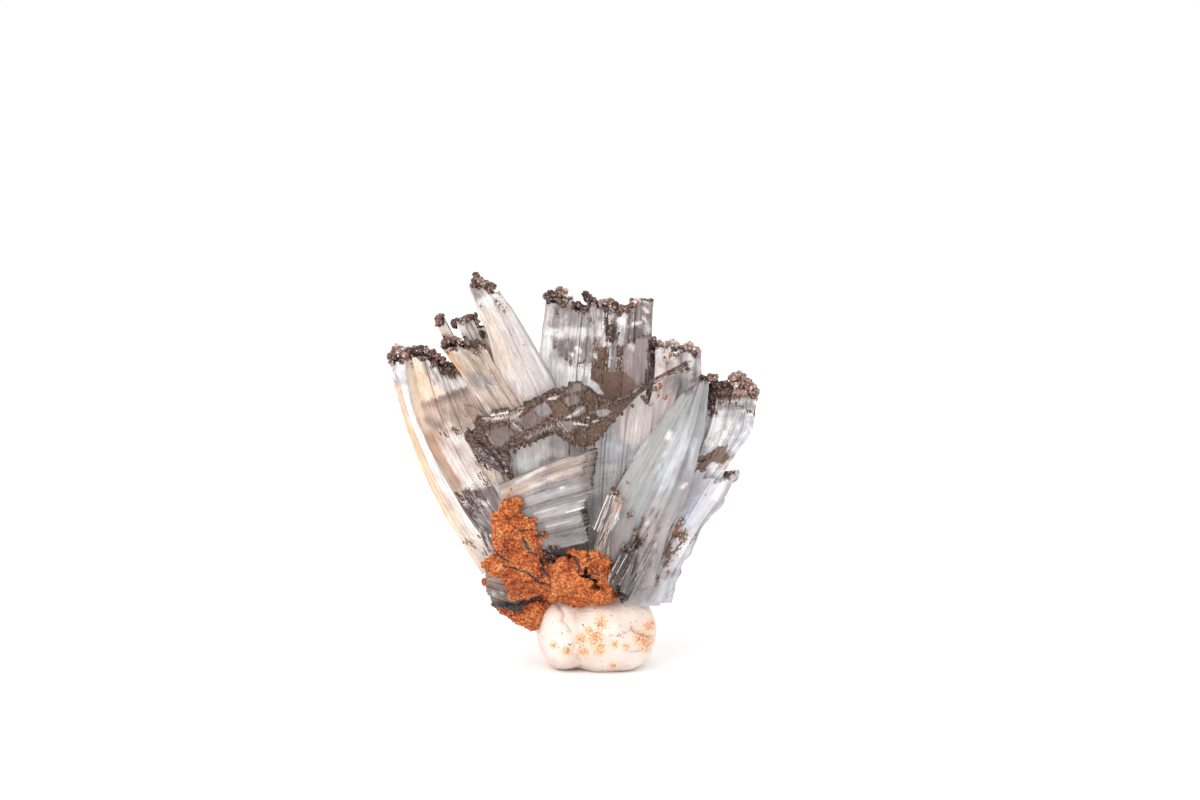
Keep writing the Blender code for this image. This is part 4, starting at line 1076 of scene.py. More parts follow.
frontBlade = {
    "name": "frontBlade", "solid": "front_blade", "slot": "grey_barite", "finish": "smooth", "colour": "mist",
    "fog": 0.96, "uneven": 0.02,
    "sheaves": [
        {"first": [(2.6, 12), (0.6, 20.5), (2.7, 27), (8.6, 36.2), (13.2, 42.2)], "last": [(8.4, 12.4),
         (10.8, 20.5), (13.8, 27), (15.8, 35), (16.6, 42.9)], "front": (-6.2, -6), "back": (-3.2, -3.3),
         "tops": (-0.9, -0.2, 0.3, 0.6, 0.4), "thin": 0.4, "seed": 37, "striae": 0.42, "steps": 0.4, "ragged": 0.4,
         "relief": 0.3, "cracks": 0.1, "between": 2},
    ],
}
frontBlade["strokes"] = [
    # Painted facet shading: the sage and mist patches are facets of the blade painted darker as shaded faces, and
    # the frost patches are painted lighter as lit faces.
    area("sage", 12.6, 42.2, 13.4, 41.6, 13, 38.4, 9.6, 31.6, 6.9, 27, 5.6, 24.4, 2.4, 23.6, 3.8, 28.8, 8.6, 36.6,
        soft=0.1, streaky=0),
    area("grey", 3.9, 28.8, 5.6, 28.2, 5.4, 24.8, 3, 23.6, 2.6, 25.4, soft=0.3, streaky=0, much=0.5),
    area("mist", 13.2, 38.4, 13, 34.4, 9.8, 26.6, 6.2, 24.2, 6.9, 27, 9.6, 31.6, soft=0.1, streaky=0),
    area("frost", 11.4, 34.6, 13.6, 38.4, 14, 34.8, 11.2, 27.6, 8.8, 26.2, 9.4, 30.2, soft=0.5, streaky=0.7,
        much=0.6),
    area("sage", 13.8, 41, 15.4, 40.6, 15.2, 35.4, 14, 31.6, 13.6, 35, soft=0.4, streaky=0.6, much=0.7),
    line("mist", 0.6, 15.7, 40.6, 15.5, 35.4, soft=0.3),
    line("frost", 0.3, 14.6, 34.6, 13.9, 30.6, soft=0.3, much=0.7),
    line("frost", 0.12, 12.6, 42, 9.6, 37.8, 6.9, 33.8, 4.6, 30.4, soft=0.12),
    # Painted glint: the short white stroke.
    line("white", 0.3, 11, 35.6, 10.6, 34.8, soft=0.2),
    line("steel", 0.6, 13.2, 30.8, 12.5, 28.8, much=0.8, soft=0.5),
    line("grey", 0.4, 14.6, 31.6, 14, 29.6, much=0.8),
    area("slate", 12.6, 43.2, 15, 43.4, 14.6, 41.4, 13.2, 41.2, soft=0.3, streaky=0.8, much=0.85),
    area("lilacGrey", 15.2, 43.3, 16.4, 43.2, 16.2, 41.6, 15.3, 41.6, soft=0.15),
    area("grey", 7.6, 25.4, 10.8, 26, 12, 24, 10.4, 16, 8.8, 12, 4, 12, 4.6, 18, 6.4, 22.4, soft=0.7, streaky=0.8),
    area("lilacGrey", 8.2, 22.4, 10.2, 22.8, 10, 17, 8.6, 12.4, 5.2, 12.4, 6.6, 18.4, soft=0.8, streaky=1.2,
        much=0.8),
    line("steel", 0.35, 14, 28, 12.6, 25.4, 10.6, 20, 8.8, 15, soft=0.3, streaky=1),
    line("steel", 0.8, 5.6, 17, 4.6, 14, soft=0.5, streaky=1),
    line("smoke", 0.1, 9.7, 24.4, 8.2, 22, 6.8, 19.6, soft=0.08),
    line("slate", 0.22, 8.4, 24.1, 6.3, 21, soft=0.15), line("smoke", 0.12, 7.2, 23.2, 5.6, 20.2, soft=0.1),
    line("smoke", 0.08, 9.4, 21.3, 8.8, 20.3, soft=0.06), line("smoke", 0.07, 10.6, 24.6, 9.6, 22.4, soft=0.06),
    line("slate", 0.1, 8.4, 19.6, 7, 17, soft=0.1), line("slate", 0.1, 9, 18, 7.8, 15.4, soft=0.1),
    line("slate", 0.08, 7.4, 16, 6.6, 13.8, soft=0.08), line("slate", 0.1, 6.2, 17.4, 5.4, 15, soft=0.08),
    line("milk", 0.1, 8.8, 19, 7.6, 16.6, much=0.7, soft=0.08),
    line("milk", 0.08, 7.6, 22.2, 6.6, 20.6, much=0.7, soft=0.06),
    line("milk", 0.2, 13.4, 28, 12.8, 27.4, soft=0.2), line("lilacGrey", 0.7, 4.6, 22, 3.2, 19.4, 2, 17, soft=0.3),
]
frontBlade["coats"] = [
    line(0.3, 0, 13.4, 42.9, 14.4, 41.9), line(0.3, -0.1, 14.6, 42.6, 13.8, 41.2),
    line(0.3, -0.1, 6.8, 22.8, 6.2, 21.4), line(0.4, -0.15, 6.4, 14), line(0.5, 0, 4.4, 28.2, 4.9, 28.1),
    line(0.4, -0.1, 10, 30.1), line(0.4, -0.1, 7, 33.1, 8.2, 33.5), line(0.35, -0.1, 7.6, 20.4, 6.8, 18.8),
    line(0.35, -0.15, 8.8, 22.6),
]
frontBlade["rust"] = [
    spot(-0.05, 14, 43), spot(-0.05, 14.5, 41.6), spot(-0.12, 9.8, 34.9), spot(-0.15, 10.3, 33.3),
    spot(-0.1, 4.4, 28), spot(-0.15, 5.3, 23.3),
]
growCrystal(frontBlade)

frontFan = {
    "name": "frontFan", "solid": "front_fan", "slot": "grey_barite", "finish": "smooth", "colour": "fanGrey",
    "fog": 0.95, "uneven": 0.05,
    "sheaves": [
        {"first": [(-14.6, 27.6), (-7.2, 30.9), (0.1, 33.2)], "last": [(-12, 17.4), (-6.4, 18), (-1.2, 19.2)],
         "front": (-6.4, -7.2), "back": (-3.8, -4.2), "tops": (0.1, -0.2, 0.1, -1, -0.5, -0.2), "seed": 41,
         "ragged": 0.9, "striae": 0.26, "steps": 0.4, "relief": 0.25, "cracks": 0.3, "mottled": 0.05, "between": 2},
    ],
}
frontFan["strokes"] = [
    line("blush", 1.3, -13.8, 26.6, -7.4, 29.6, -1.6, 32.2, soft=0.8, streaky=1.2, much=0.5),
    line("slate", 0.12, -11.4, 25.6, -6, 28, -2.4, 29.6, much=0.7, soft=0.12),
    line("smoke", 0.08, -9.4, 28.6, -4, 30.9, much=0.7, soft=0.1),
    line("sand", 0.9, -14.2, 26.4, -11, 27.2, much=0.7, soft=0.8),
    line("veil", 0.25, -12, 28.2, -8, 30.3, soft=0.2),
    line("pinkish", 0.3, -10, 27.6, -2.6, 30.2, much=0.7, soft=0.3),
    line("smoke", 0.06, -4.4, 31.7, 0, 33.2, soft=0.08),
    line("umberVeil", 0.2, -8.4, 29.3, -3, 31.3, much=0.6, soft=0.2),
    line("umberVeil", 0.15, -6.4, 28.6, -2.4, 30.2, much=0.6, soft=0.2),
    line("grey", 0.8, -10, 25.6, -3, 27.6, soft=0.6),
    line("slate", 0.2, -9, 24.4, -3.4, 25.8, 0, 26.4, much=0.6, soft=0.2),
    line("grey", 0.5, -8.4, 23.4, -3, 24.6, soft=0.5), line("slate", 0.1, -9.4, 26.4, -4, 28.2, much=0.6, soft=0.1),
    line("grey", 0.5, -7.6, 22, -2.6, 22.8, soft=0.5),
    line("slate", 0.12, -8.2, 22.6, -3.4, 23.4, much=0.5, soft=0.1),
    # Painted shadow: the dark slate and ink strokes along the foot of the fan.
    line("slate", 0.5, -8.6, 19.8, -2.4, 20.2, soft=0.5, much=0.6),
    line("ink", 0.15, -6.4, 20, -2.6, 20.4, much=0.5, soft=0.2, streaky=1),
    area("smoke", -2.2, 32.8, 0.4, 33.4, 0.4, 26.4, -1.6, 26.4, -2.4, 28.6, -1.8, 30.4, soft=0.5, streaky=1.2,
        much=0.9),
    area("umber", -1, 33, 0.5, 33.4, 0.5, 26.6, -0.7, 26.6, -0.9, 29.4, soft=0.3, streaky=1, much=0.6),
    area("umber", -2.6, 24.2, -1.4, 24.6, -0.8, 20, -1.7, 20, -2.1, 22.6, much=0.9, soft=0.2, streaky=1),
    # The first white stroke is a painted glint.
    line("white", 0.14, -5.4, 27.3, -4.3, 27.8, soft=0.1), line("white", 0.04, -4.6, 23.6, -1.8, 24.4, soft=0.08),
    line("white", 0.02, -3.4, 24.9, -1.9, 25.4, much=0.7, soft=0.08),
    line("milk", 0.06, -7.6, 21.4, -3.6, 22.4, much=0.6, soft=0.08),
    line("milk", 0.06, -9.4, 23.4, -6, 24.4, much=0.6, soft=0.08),
]
frontFan["coats"] = [
    line(0.35, 0.3, 0.1, 33.3, -0.2, 31.4, 0, 29.6, -0.2, 26.9, cap=0.4, more=0.1),
    line(0.2, 0.2, -1.5, 24.4, -1.6, 22.4, -1, 20.2, cap=0.3), line(0.45, 0, -1.8, 31.8, -2, 28.8, cap=0.1),
]
frontFan["rust"] = [spot(-0.2, -13.4, 26.4, -12.8, 26.3)]
growCrystal(frontFan)

smallPrisms = {
    "name": "smallPrisms", "solid": "small_prisms", "slot": "clear_barite", "finish": "glass", "colour": "taupe",
    "fog": 0.92, "uneven": 0.3,
    "sheaves": [
        {"first": [(-1.2, 13.6), (0.1, 20.6), (1.9, 26.8)], "last": [(1.6, 13.2), (2.3, 20), (4.4, 25.8)],
         "front": (-7.2, -7.4), "back": (-5, -5.6), "tops": (-1, 0.3, -0.6), "seed": 43, "ragged": 0.9,
         "striae": 0.14},
        {"first": [(1.3, 13.2), (3.9, 19.2)], "last": [(4.1, 11.2), (6.4, 18.4)], "front": (-7.6, -8),
         "back": (-6, -6.4), "tops": (-0.4, -0.8, 0.2, -0.6), "seed": 45, "ragged": 1.3, "striae": 0.12},
    ],
}
smallPrisms["strokes"] = [
    area("blush", 2.2, 26.8, 3.9, 26.2, 4.4, 24.6, 3.4, 23.2, 2.2, 24.2, fog=0.9, soft=0.2, streaky=0.3),
    line("milk", 0.7, 3, 22.8, 1.8, 21.6, fog=0.9, soft=0.4),
    line("milk", 0.4, 2, 26, 0.2, 21.4, fog=0.9, soft=0.3),
    line("paleGrey", 0.4, 1.4, 20.6, 0.4, 18.4, fog=0.9, soft=0.3),
    line("smoke", 0.5, 2.6, 20.2, 1.6, 18, much=0.8),
    area("umber", 1.4, 14.4, 3.4, 18, 6.4, 18.8, 5.4, 13.6, 3.6, 10.6, 1.4, 12, much=0.85, soft=0.5, streaky=1.2),
    line("slate", 0.9, 4.6, 12.4, 5.8, 14.6, much=0.9, soft=0.5, streaky=1.2),
]
smallPrisms["coats"] = [line(0.5, 0.1, 2.3, 27, 3.1, 26.8), line(0.3, 0.2, 3.4, 11.4, 4.2, 11, grit=0.4)]
smallPrisms["rust"] = [spot(0, 2.2, 26.9, 3.2, 26.6)]
growCrystal(smallPrisms)

centreSheaf = {
    "name": "centreSheaf", "solid": "centre_sheaf", "slot": "grey_barite", "finish": "smooth", "colour": "paleGrey",
    "fog": 0.88, "uneven": 0.04,
    "sheaves": [
        {"first": [(-10, 12), (-13.2, 22), (-15.8, 30), (-17, 37)], "last": [(5.4, 10.5), (6, 20), (7.4, 30),
         (8.8, 40.2)], "front": (-3.4, -2.8), "back": (4.2, 3.4), "tops": (0, 0.6, 1, 0.6, 0.2, 0), "seed": 47,
         "relief": 0.3, "cracks": 0.1, "steps": 0.6},
        {"first": [(-8, 12), (-11, 22), (-13.6, 33.4)], "last": [(5.2, 10.5), (8.6, 20), (12.4, 31.4)],
         "front": (2.6, 2.6), "back": (6, 10.6), "tops": (-2.4, 1.2, 4.6, 3, 5.2, 1.4, -3), "crusted": 0.8,
         "thin": 1.4, "seed": 50, "colour": "frost", "fog": 0.6, "striae": 0.25},
    ],
}
centreSheaf["strokes"] = [
    area("paleGrey", 0, 36.4, 3.6, 38, 3.2, 34.4, 6.2, 34, 3.4, 27.6, 2, 22, -0.8, 20, -1, 27, soft=0.2,
        streaky=0.2, much=0.6),
    area("lobeGrey", 0.2, 34.8, 4.6, 35.4, 5.4, 33, 3.8, 30.4, 0.2, 30.6, soft=0.3, streaky=0.2, much=0.8),
    line("frost", 0.5, 1.6, 33.8, 3.4, 33.2, soft=0.4, much=0.7),
    line("frost", 0.15, 4.9, 34.2, 5.2, 33.2, soft=0.15),
    line("slate", 0.05, 0.2, 31, 3.4, 31.4, much=0.5, soft=0.08),
    line("slate", 0.05, 0.2, 29.2, 3.2, 29.8, much=0.5, soft=0.08),
    line("slate", 0.05, 0.2, 27.8, 2.8, 28.2, much=0.5, soft=0.08),
    line("frost", 0.05, 0.2, 30.2, 3.4, 30.7, soft=0.08),
    line("slate", 0.04, 0.2, 28.5, 3, 29, much=0.5, soft=0.08),
    line("frost", 0.05, 0.2, 26.6, 2.4, 27.2, much=0.6, soft=0.08),
    area("milk", -16, 34.6, -9, 36.4, -0.2, 36.8, 0.2, 33, -8.4, 29.6, -13.6, 28.2, soft=0.3, streaky=0.2),
    line("white", 0.9, -12.4, 31.2, -10, 30.6, -8.6, 31.2, soft=0.6),
    line("grey", 0.3, -8.4, 31, -6.6, 31.7, much=0.8, soft=0.4),
    line("paleGrey", 0.8, -6.6, 34, -3.4, 33.6, -1.4, 33.2, soft=0.6), line("cream", 0.9, -15.6, 29.6, -12.8, 28.4),
    area("grey", -1.6, 25.8, 0.6, 26.2, 2.2, 21.4, 1.4, 19, -1.8, 18.6, much=0.8, soft=0.6),
    area("pinkish", 2.8, 38, 4.6, 40.6, 9.4, 42.2, 8.8, 33.6, 5.2, 33.6, 3.6, 34.6, soft=0.3, streaky=0.2),
    line("steel", 0.08, 4.9, 39.6, 4.4, 37.4, 4.2, 35.6, much=0.6, soft=0.1),
]
centreSheaf["coats"] = [line(0.4, -0.1, -5.4, 35.2, -4.8, 34.6)]
centreSheaf["rust"] = [
    spot(0.05, -4, 33.4, -4.3, 32.7), spot(-0.15, 3.6, 36, 3.6, 35), spot(-0.3, 5, 38.6, 5.3, 37.6),
    spot(-0.3, 7.4, 40, 7.2, 38),
]
growCrystal(centreSheaf)

brownBand = {
    "name": "brownBand", "solid": "brown_band", "slot": "stained_barite", "finish": "smooth", "colour": "bandGrey",
    "fog": 0.96, "uneven": 0.08,
    "sheaves": [
        {"first": [(-18.6, 35), (-14.8, 33), (-10.4, 33.9), (-7, 35.6), (-3.5, 33.7), (-0.6, 33.8), (2.7, 37.6),
         (6.8, 41.7), (13.6, 45.7)], "last": [(-18, 38), (-14.6, 38.8), (-11, 39.6), (-7.4, 41.4), (-4.6, 42.5),
         (-1.6, 42.6), (2, 40.5), (6.4, 42.2), (13.5, 45.9)], "front": (-5.6, -5.3), "back": (-2.6, -2.4),
         "across": True, "tops": (-0.4, 0.3, -0.3, 0.2, 0.1, -0.3, 0.4, 0, 0.2, -0.3, 0.1, 0.2), "seed": 53,
         "ragged": 0.35, "striae": 0.15, "steps": 0.6, "relief": 0.2, "cracks": 0, "between": 3, "mottled": 0.12},
        {"first": [(-12.6, 28.4), (-16.6, 31), (-19.6, 34.4)], "last": [(-12.3, 28.8), (-13, 32.4), (-17.4, 37.4)],
         "front": (-5, -5.3), "back": (-2.6, -2.8), "tops": (0.4, -0.2, 0.5), "seed": 54, "colour": "mauve",
         "striae": 0.16, "ragged": 1, "relief": 0.6, "cracks": 0.5, "between": 2, "mottled": 0.14},
    ],
}
brownBand["strokes"] = [
    area("taupe", -17.7, 38.3, -14.8, 38.4, -11.2, 39.2, -11.2, 38, -11.7, 36.9, -13.3, 37.7, -15.6, 37.2,
        -16.6, 37.2, soft=0.1, streaky=0.3),
    line("veil", 0.16, -17, 37.9, -15, 37.7, -13.6, 38.2, soft=0.1, much=0.9),
    line("white", 0.08, -16, 38.2, -13.4, 38.7, soft=0.08),
    line("blush", 0.25, -13.2, 37.4, -11.8, 38.4, soft=0.15, much=0.8, streaky=0.8),
    line("white", 0.08, -11.9, 39.1, -11, 39.4, soft=0.08),
    area("taupe", -13.3, 37.6, -11.7, 36.9, -10.8, 36, -11.6, 35.7, -12.6, 35.9, -13.1, 36.6, soft=0.1,
        streaky=0.6),
    line("veil", 0.07, -12.7, 37.2, -11.5, 35.9, soft=0.06), line("ink", 0.06, -12.9, 36.9, -11.9, 35.8, soft=0.06),
    line("smoke", 0.4, -15, 35.8, -13.6, 35, soft=0.3, much=0.6, streaky=0.8),
    line("sand", 0.1, -16.7, 35.5, -15.5, 33.9, soft=0.1, much=0.7),
    area("steel", -9.4, 39.2, -7.8, 40.2, -7.3, 39.7, -6.7, 38.6, -8.4, 38, soft=0.1, streaky=0.2, much=0.6),
    line("ink", 0.05, -9.4, 38.7, -8.8, 38, soft=0.06), line("umber", 0.06, -10.6, 37.2, -10, 36.5, soft=0.06),
    area("paleGrey", -7.7, 40.5, -7, 41, -5.4, 41.2, -5.2, 41.5, -6.2, 40.6, soft=0.06, streaky=0),
    area("smoke", -4.9, 40.8, -3.3, 41.3, -2.5, 40.8, -2.7, 40.2, -4, 39.6, -4.7, 40, soft=0.1, streaky=0.4),
    area("smoke", -4.9, 41.8, -2.3, 43.4, -1.6, 42.5, -2.5, 41.7, -4, 41.1, soft=0.06, streaky=0),
    area("fanGrey", -5, 37.8, -3.9, 38.4, -2.6, 39.5, -1.9, 39.6, -1.6, 38.8, -2.7, 38.2, -3.8, 37.8, -4.7, 37.5,
        soft=0.06, streaky=0.1),
    line("paleGrey", 0.12, -4.4, 37.8, -2.9, 38.7, -2, 39.3, soft=0.08),
    area("smoke", -5.9, 37.5, -3.4, 37.5, -2.8, 36.3, -4, 36.1, -5, 35.6, -5.8, 36.8, soft=0.1, streaky=0.3),
    line("veil", 0.06, -6.2, 37.3, -4.7, 35.5, soft=0.05), line("veil", 0.05, -5.7, 37.3, -4.4, 35.7, soft=0.05),
    line("ink", 0.06, -5.95, 37.3, -4.55, 35.6, soft=0.05),
    area("steel", -0.3, 38.7, 0.4, 39.1, 1.6, 39.1, 2.3, 38.8, 1.5, 38.2, 0.4, 38, soft=0.1, streaky=0.4),
    line("paleGrey", 0.25, -3.4, 37, -1.2, 36.7, soft=0.1), line("paleGrey", 0.2, -0.8, 37.2, 0.2, 37.4, soft=0.1),
    line("paleGrey", 0.2, -2, 37.8, -1.1, 37.9, soft=0.1), line("grey", 0.2, -2.2, 34.9, -1, 35.4, soft=0.1),
    line("grey", 0.3, -11, 34.6, -9.2, 35.3, -7.4, 36.2, -6.4, 36.8, much=0.6, soft=0.3, streaky=1.2),
    line("grey", 0.25, 4.6, 41.1, 6.4, 42.2, soft=0.2),
    line("blush", 0.2, 8.6, 43.2, 12.6, 45.1, much=0.7, soft=0.2, streaky=0.8),
    line("ink", 0.16, -18.4, 35.2, -15.6, 32.6, -12.8, 29, soft=0.1, streaky=0.7),
    line("umber", 0.14, -18.8, 36, -17, 34, soft=0.1),
    line("grey", 0.1, -19, 34.6, -17.6, 33.2, -15.4, 31.6, soft=0.1, much=0.8),
    line("veil", 0.06, -18, 33, -17.2, 32.4, soft=0.06),
    line("smoke", 0.3, -17.4, 32.2, -14.6, 30.2, soft=0.2, much=0.8, streaky=0.9),
    line("grey", 0.08, -16.6, 32.8, -14.2, 30.4, soft=0.08),
    line("umber", 0.12, -17.4, 31.6, -14.8, 30.4, soft=0.1, streaky=0.9),
]
brownBand["coats"] = [
    area(0.37, -20.6, 33, -20.6, 40.6, -8, 43.6, 14.4, 48.6, 14.4, 44, 0, 31, -12.2, 31.6, -16, 33, cap=1),
    area(0.2, -19, 37, -16.6, 37, -12.8, 31, -12, 28, -13.4, 29.2, -16.6, 30.6, -19.6, 34, cap=-0.05, more=0.4),
    mark(0.25, 0.2, -18.2, 38.2, -17.4, 36.6, -15.6, 33.6, -13.4, 31.2, -12.9, 29.6, cap=1.4),
    mark(0.2, 0.1, -18.6, 35, -16.2, 32.4, cap=0.8), mark(0.2, 0, -17.8, 33.4, -14.8, 30.8, -13.6, 29.6, cap=0.5),
    area(0.35, -13.3, 35.4, -11.5, 35.7, -11.2, 34.3, -12.7, 32.7, -13.5, 32.2, -14.8, 32.8, cap=1.5, crisp=2),
    area(0.47, -7.4, 40.2, -5.5, 40.6, -4.9, 40.3, -3.9, 38.7, -4.6, 37.9, -5.8, 37.6, -6.5, 37.8, -6.6, 38.6,
        cap=1.6, crisp=3),
    area(0.415, -4, 35.8, -1.6, 36.2, 1.4, 37.8, 2.4, 37.4, 0.6, 35.2, -0.6, 33.6, -3.4, 33.4, cap=1.6, crisp=2),
    area(0.42, -2.4, 41.6, -0.4, 41.8, 0.8, 40.2, -1.4, 39.6, cap=1.5, crisp=2),
    area(None, -16.95, 35.7, -13.35, 36.6, -12.3, 35.4, -14.25, 33.6, -15.15, 33.3, -16.05, 34.2, hole=True,
        crisp=3),
    area(None, -11.25, 37.95, -7.8, 40.3, -7.35, 39.8, -6.6, 38.5, -8.1, 37.35, -10, 36.3, -10.8, 36, -11.7, 36.9,
        hole=True, crisp=3),
    area(None, -17.7, 38.3, -14.8, 38.4, -11.2, 39.3, -11.2, 38, -11.7, 36.9, -13.3, 37.7, -15.6, 37.2, -16.6, 37.2,
        hole=True, crisp=1.2, more=0.05),
    area(None, -13.3, 37.6, -11.7, 36.9, -10.8, 36, -11.6, 35.7, -12.6, 35.9, -13.1, 36.6, hole=True, crisp=1),
    area(None, -7.7, 40.4, -7, 41, -5.4, 41.3, -5.2, 41.6, -6.2, 40.6, hole=True, crisp=4),
    area(None, -4.9, 40.8, -3.3, 41.3, -2.5, 40.8, -2.7, 40.2, -4, 39.6, -4.7, 40, hole=True, crisp=4),
    area(None, -4.9, 41.8, -2.3, 43.4, -1.6, 42.5, -2.5, 41.8, -4, 41.2, hole=True, crisp=1.6),
    area(None, -5, 37.8, -3.9, 38.4, -2.6, 39.5, -1.9, 39.6, -1.6, 38.8, -2.7, 38.2, -3.8, 37.8, -4.7, 37.5,
        hole=True, crisp=4, more=0.04),
    area(None, -5.9, 37.5, -3.4, 37.5, -2.8, 36.3, -4, 36.1, -5, 35.6, -5.8, 36.8, hole=True, crisp=1.2),
    area(None, -0.3, 38.7, 0.4, 39.1, 1.6, 39.1, 2.3, 38.8, 1.5, 38.2, 0.4, 38, hole=True, crisp=4),
    area(None, -11.2, 34.9, -9.6, 35.8, -7.6, 36.6, -6.4, 37.2, -5.6, 36, -7, 35.8, -9.2, 34.8, -10.2, 34.2,
        hole=True, more=-0.3),
    hole(0.12, -3.3, 37, -1.3, 36.7, crisp=5), hole(0.1, -0.7, 37.2, 0.1, 37.4, crisp=5),
    hole(0.08, -1.9, 37.8, -1.2, 37.9, crisp=5), hole(0.04, -2.1, 35.5, -1.7, 34.8, crisp=5),
    hole(0.05, -1.1, 35.4, -0.8, 35.3, crisp=5), hole(0.1, 4.4, 41, 5, 41.3, crisp=4),
    hole(0.12, 5.5, 41.7, 6.1, 42.1, crisp=4), hole(0.1, 8.6, 43.2, 10.4, 44.1, crisp=2),
    hole(0.1, 11.2, 44.6, 12.8, 45.5, crisp=2),
    mark(0.15, 0.08, -16.8, 36.9, -15.6, 36.9, -14, 37.3, -13.2, 37, cap=0.8, grit=0.4),
    line(0.25, 0, -17.6, 38, -15.4, 37.9, -13.6, 38.2, -11.4, 38.9, cap=0.3, crisp=1.5),
    mark(0.2, 0.03, -12.6, 37.6, -11.6, 36.4, cap=0.5), mark(0.2, 0.03, -13.2, 36.4, -12, 35.6, cap=0.6),
    mark(0.2, 0.02, -15.9, 34.6, -15, 33.5, cap=0.6),
    mark(0.22, 0.04, -11.2, 38.2, -9.6, 39.3, -7.8, 40.4, cap=0.6),
    mark(0.2, 0.02, -11.8, 36.6, -10.4, 35.9, -8.4, 37, -6.7, 38, cap=0.6),
    mark(0.25, 0.03, -5.9, 37.3, -5.2, 36, -4.2, 35.2, cap=0.5),
    mark(0.22, 0.04, -3.6, 38.2, -2.6, 38, -0.8, 38.4, cap=1.6),
    mark(0.2, 0.05, -10.2, 34.2, -8, 35.3, -6.4, 35.9, -4.6, 35.2, cap=1.2, grit=0.2),
    area(0.26, -13.4, 34, -12, 35, -10.6, 34.4, -8.4, 35.6, -6.6, 36.1, -4.6, 35.3, -3.8, 34.2, -6.8, 34.9,
        -9.8, 33.4, -12.8, 31, cap=1.7, crisp=1.2),
    mark(0.12, 0.16, -17.6, 37.8, -17.1, 35.9, -16.2, 34.1, -15.1, 33.1, -14.1, 33.5, -12.3, 35.2),
    mark(0.12, 0.14, -16.9, 36.6, -15.6, 36.9, -13.4, 36.8, -12.3, 35.6),
    mark(0.12, 0.14, -11.8, 36.9, -10.8, 35.9, -10, 36.1, -8.1, 37.2, -6.5, 38.4),
    mark(0.1, 0.12, -11.6, 38, -9.6, 39.4, -7.8, 40.6, -6, 41.9, -4.9, 42.2),
    mark(0.12, 0.08, -6.5, 38.4, -7.2, 40.2), mark(0.1, 0.1, -5.4, 37.5, -3.6, 37.6, -1.9, 38),
    mark(0.14, 0.1, -4.9, 41.2, -3.2, 41.5, -2.2, 41, -2.2, 40.2),
    mark(0.12, 0.1, -15.8, 32.4, -14, 30.4, -13, 28.9, cap=1.6),
    mark(0.12, 0.1, -18.4, 34.8, -17.2, 33.2, -15.4, 31.6, cap=1.6),
    mark(0.12, 0.12, -3.6, 34.4, -1.2, 34, 0.6, 35.4, 2.2, 37.2, cap=2, grit=0.3),
    mark(0.15, 0.05, -12.2, 36.1, -11.3, 35.5, cap=0.5),
    line(0.46, 0.06, -11.6, 35.5, -9.2, 36.6, -6.4, 37.8, -5, 37.6, cap=0.9, crisp=3),
    mark(0.15, 0.07, -8.7, 40.5, -7.4, 41.3, -5.3, 42.4, -5, 41.8, cap=0.9, grit=0.5),
    mark(0.25, 0.05, -4.9, 41.6, -4, 41.3, -2.6, 41.8, cap=0.6),
    line(0.2, 0.04, -7.2, 40.4, -6.5, 38.8, cap=0.5, crisp=3),
    line(0.15, 0.1, 1.2, 40.2, 4.4, 41.6, 7.4, 43.2, cap=1.8, crisp=3, grit=0.3),
]
brownBand["rust"] = [
    spot(0.15, -6.3, 37.6), spot(0.1, -16.4, 33.3), spot(0, -13.9, 32), spot(-0.15, -15, 36.5),
    spot(-0.25, 0.6, 39.8, -0.6, 39.4), spot(-0.3, -10.6, 36, -7.7, 37.3), spot(-0.3, -4.6, 40.6, -4, 39.5),
]
growCrystal(brownBand)

darkBase = {
    "name": "darkBaseCrystals", "solid": "dark_base_crystals", "slot": "stained_barite", "finish": "smooth",
    "colour": "umberVeil", "fog": 0.9, "uneven": 0.16,
    "sheaves": [
        {"first": [(-8, 7.2), (-12, 7.9), (-16, 9.4)], "last": [(-7, 12.6), (-10.8, 14), (-15.6, 15)],
         "front": (-5, -4.8), "back": (2.2, 1.6), "tops": (0, 0.9, 0.9), "seed": 59, "ragged": 0.4, "striae": 0.6,
         "mottled": 0.2, "steps": 1.6, "relief": 0.6},
    ],
}
darkBase["strokes"] = [
    area("smoke", -16.6, 12.6, -13.6, 12.8, -13, 9.6, -16, 9, soft=0.4, streaky=1, much=0.8),
    line("ink", 0.7, -13.6, 10.2, -11, 10, soft=0.4, streaky=0.8),
    line("ink", 0.3, -15.6, 9.4, -13.6, 9.3, soft=0.3), line("blush", 0.5, -16.4, 13.8, -14.8, 13.4, much=0.8),
    line("paleGrey", 0.2, -15.6, 11.6, -14.2, 11.6, soft=0.15),
]
darkBase["coats"] = [line(0.2, 0.1, -15.6, 9.4, -13, 8.9, grit=0.4), line(0.3, 0, -16.6, 10.6, -16, 9.8)]
darkBase["rust"] = [spot(0.1, -15.4, 9, -13.4, 8.6), spot(0, -14.6, 10.8, -14, 10.4)]
growCrystal(darkBase)


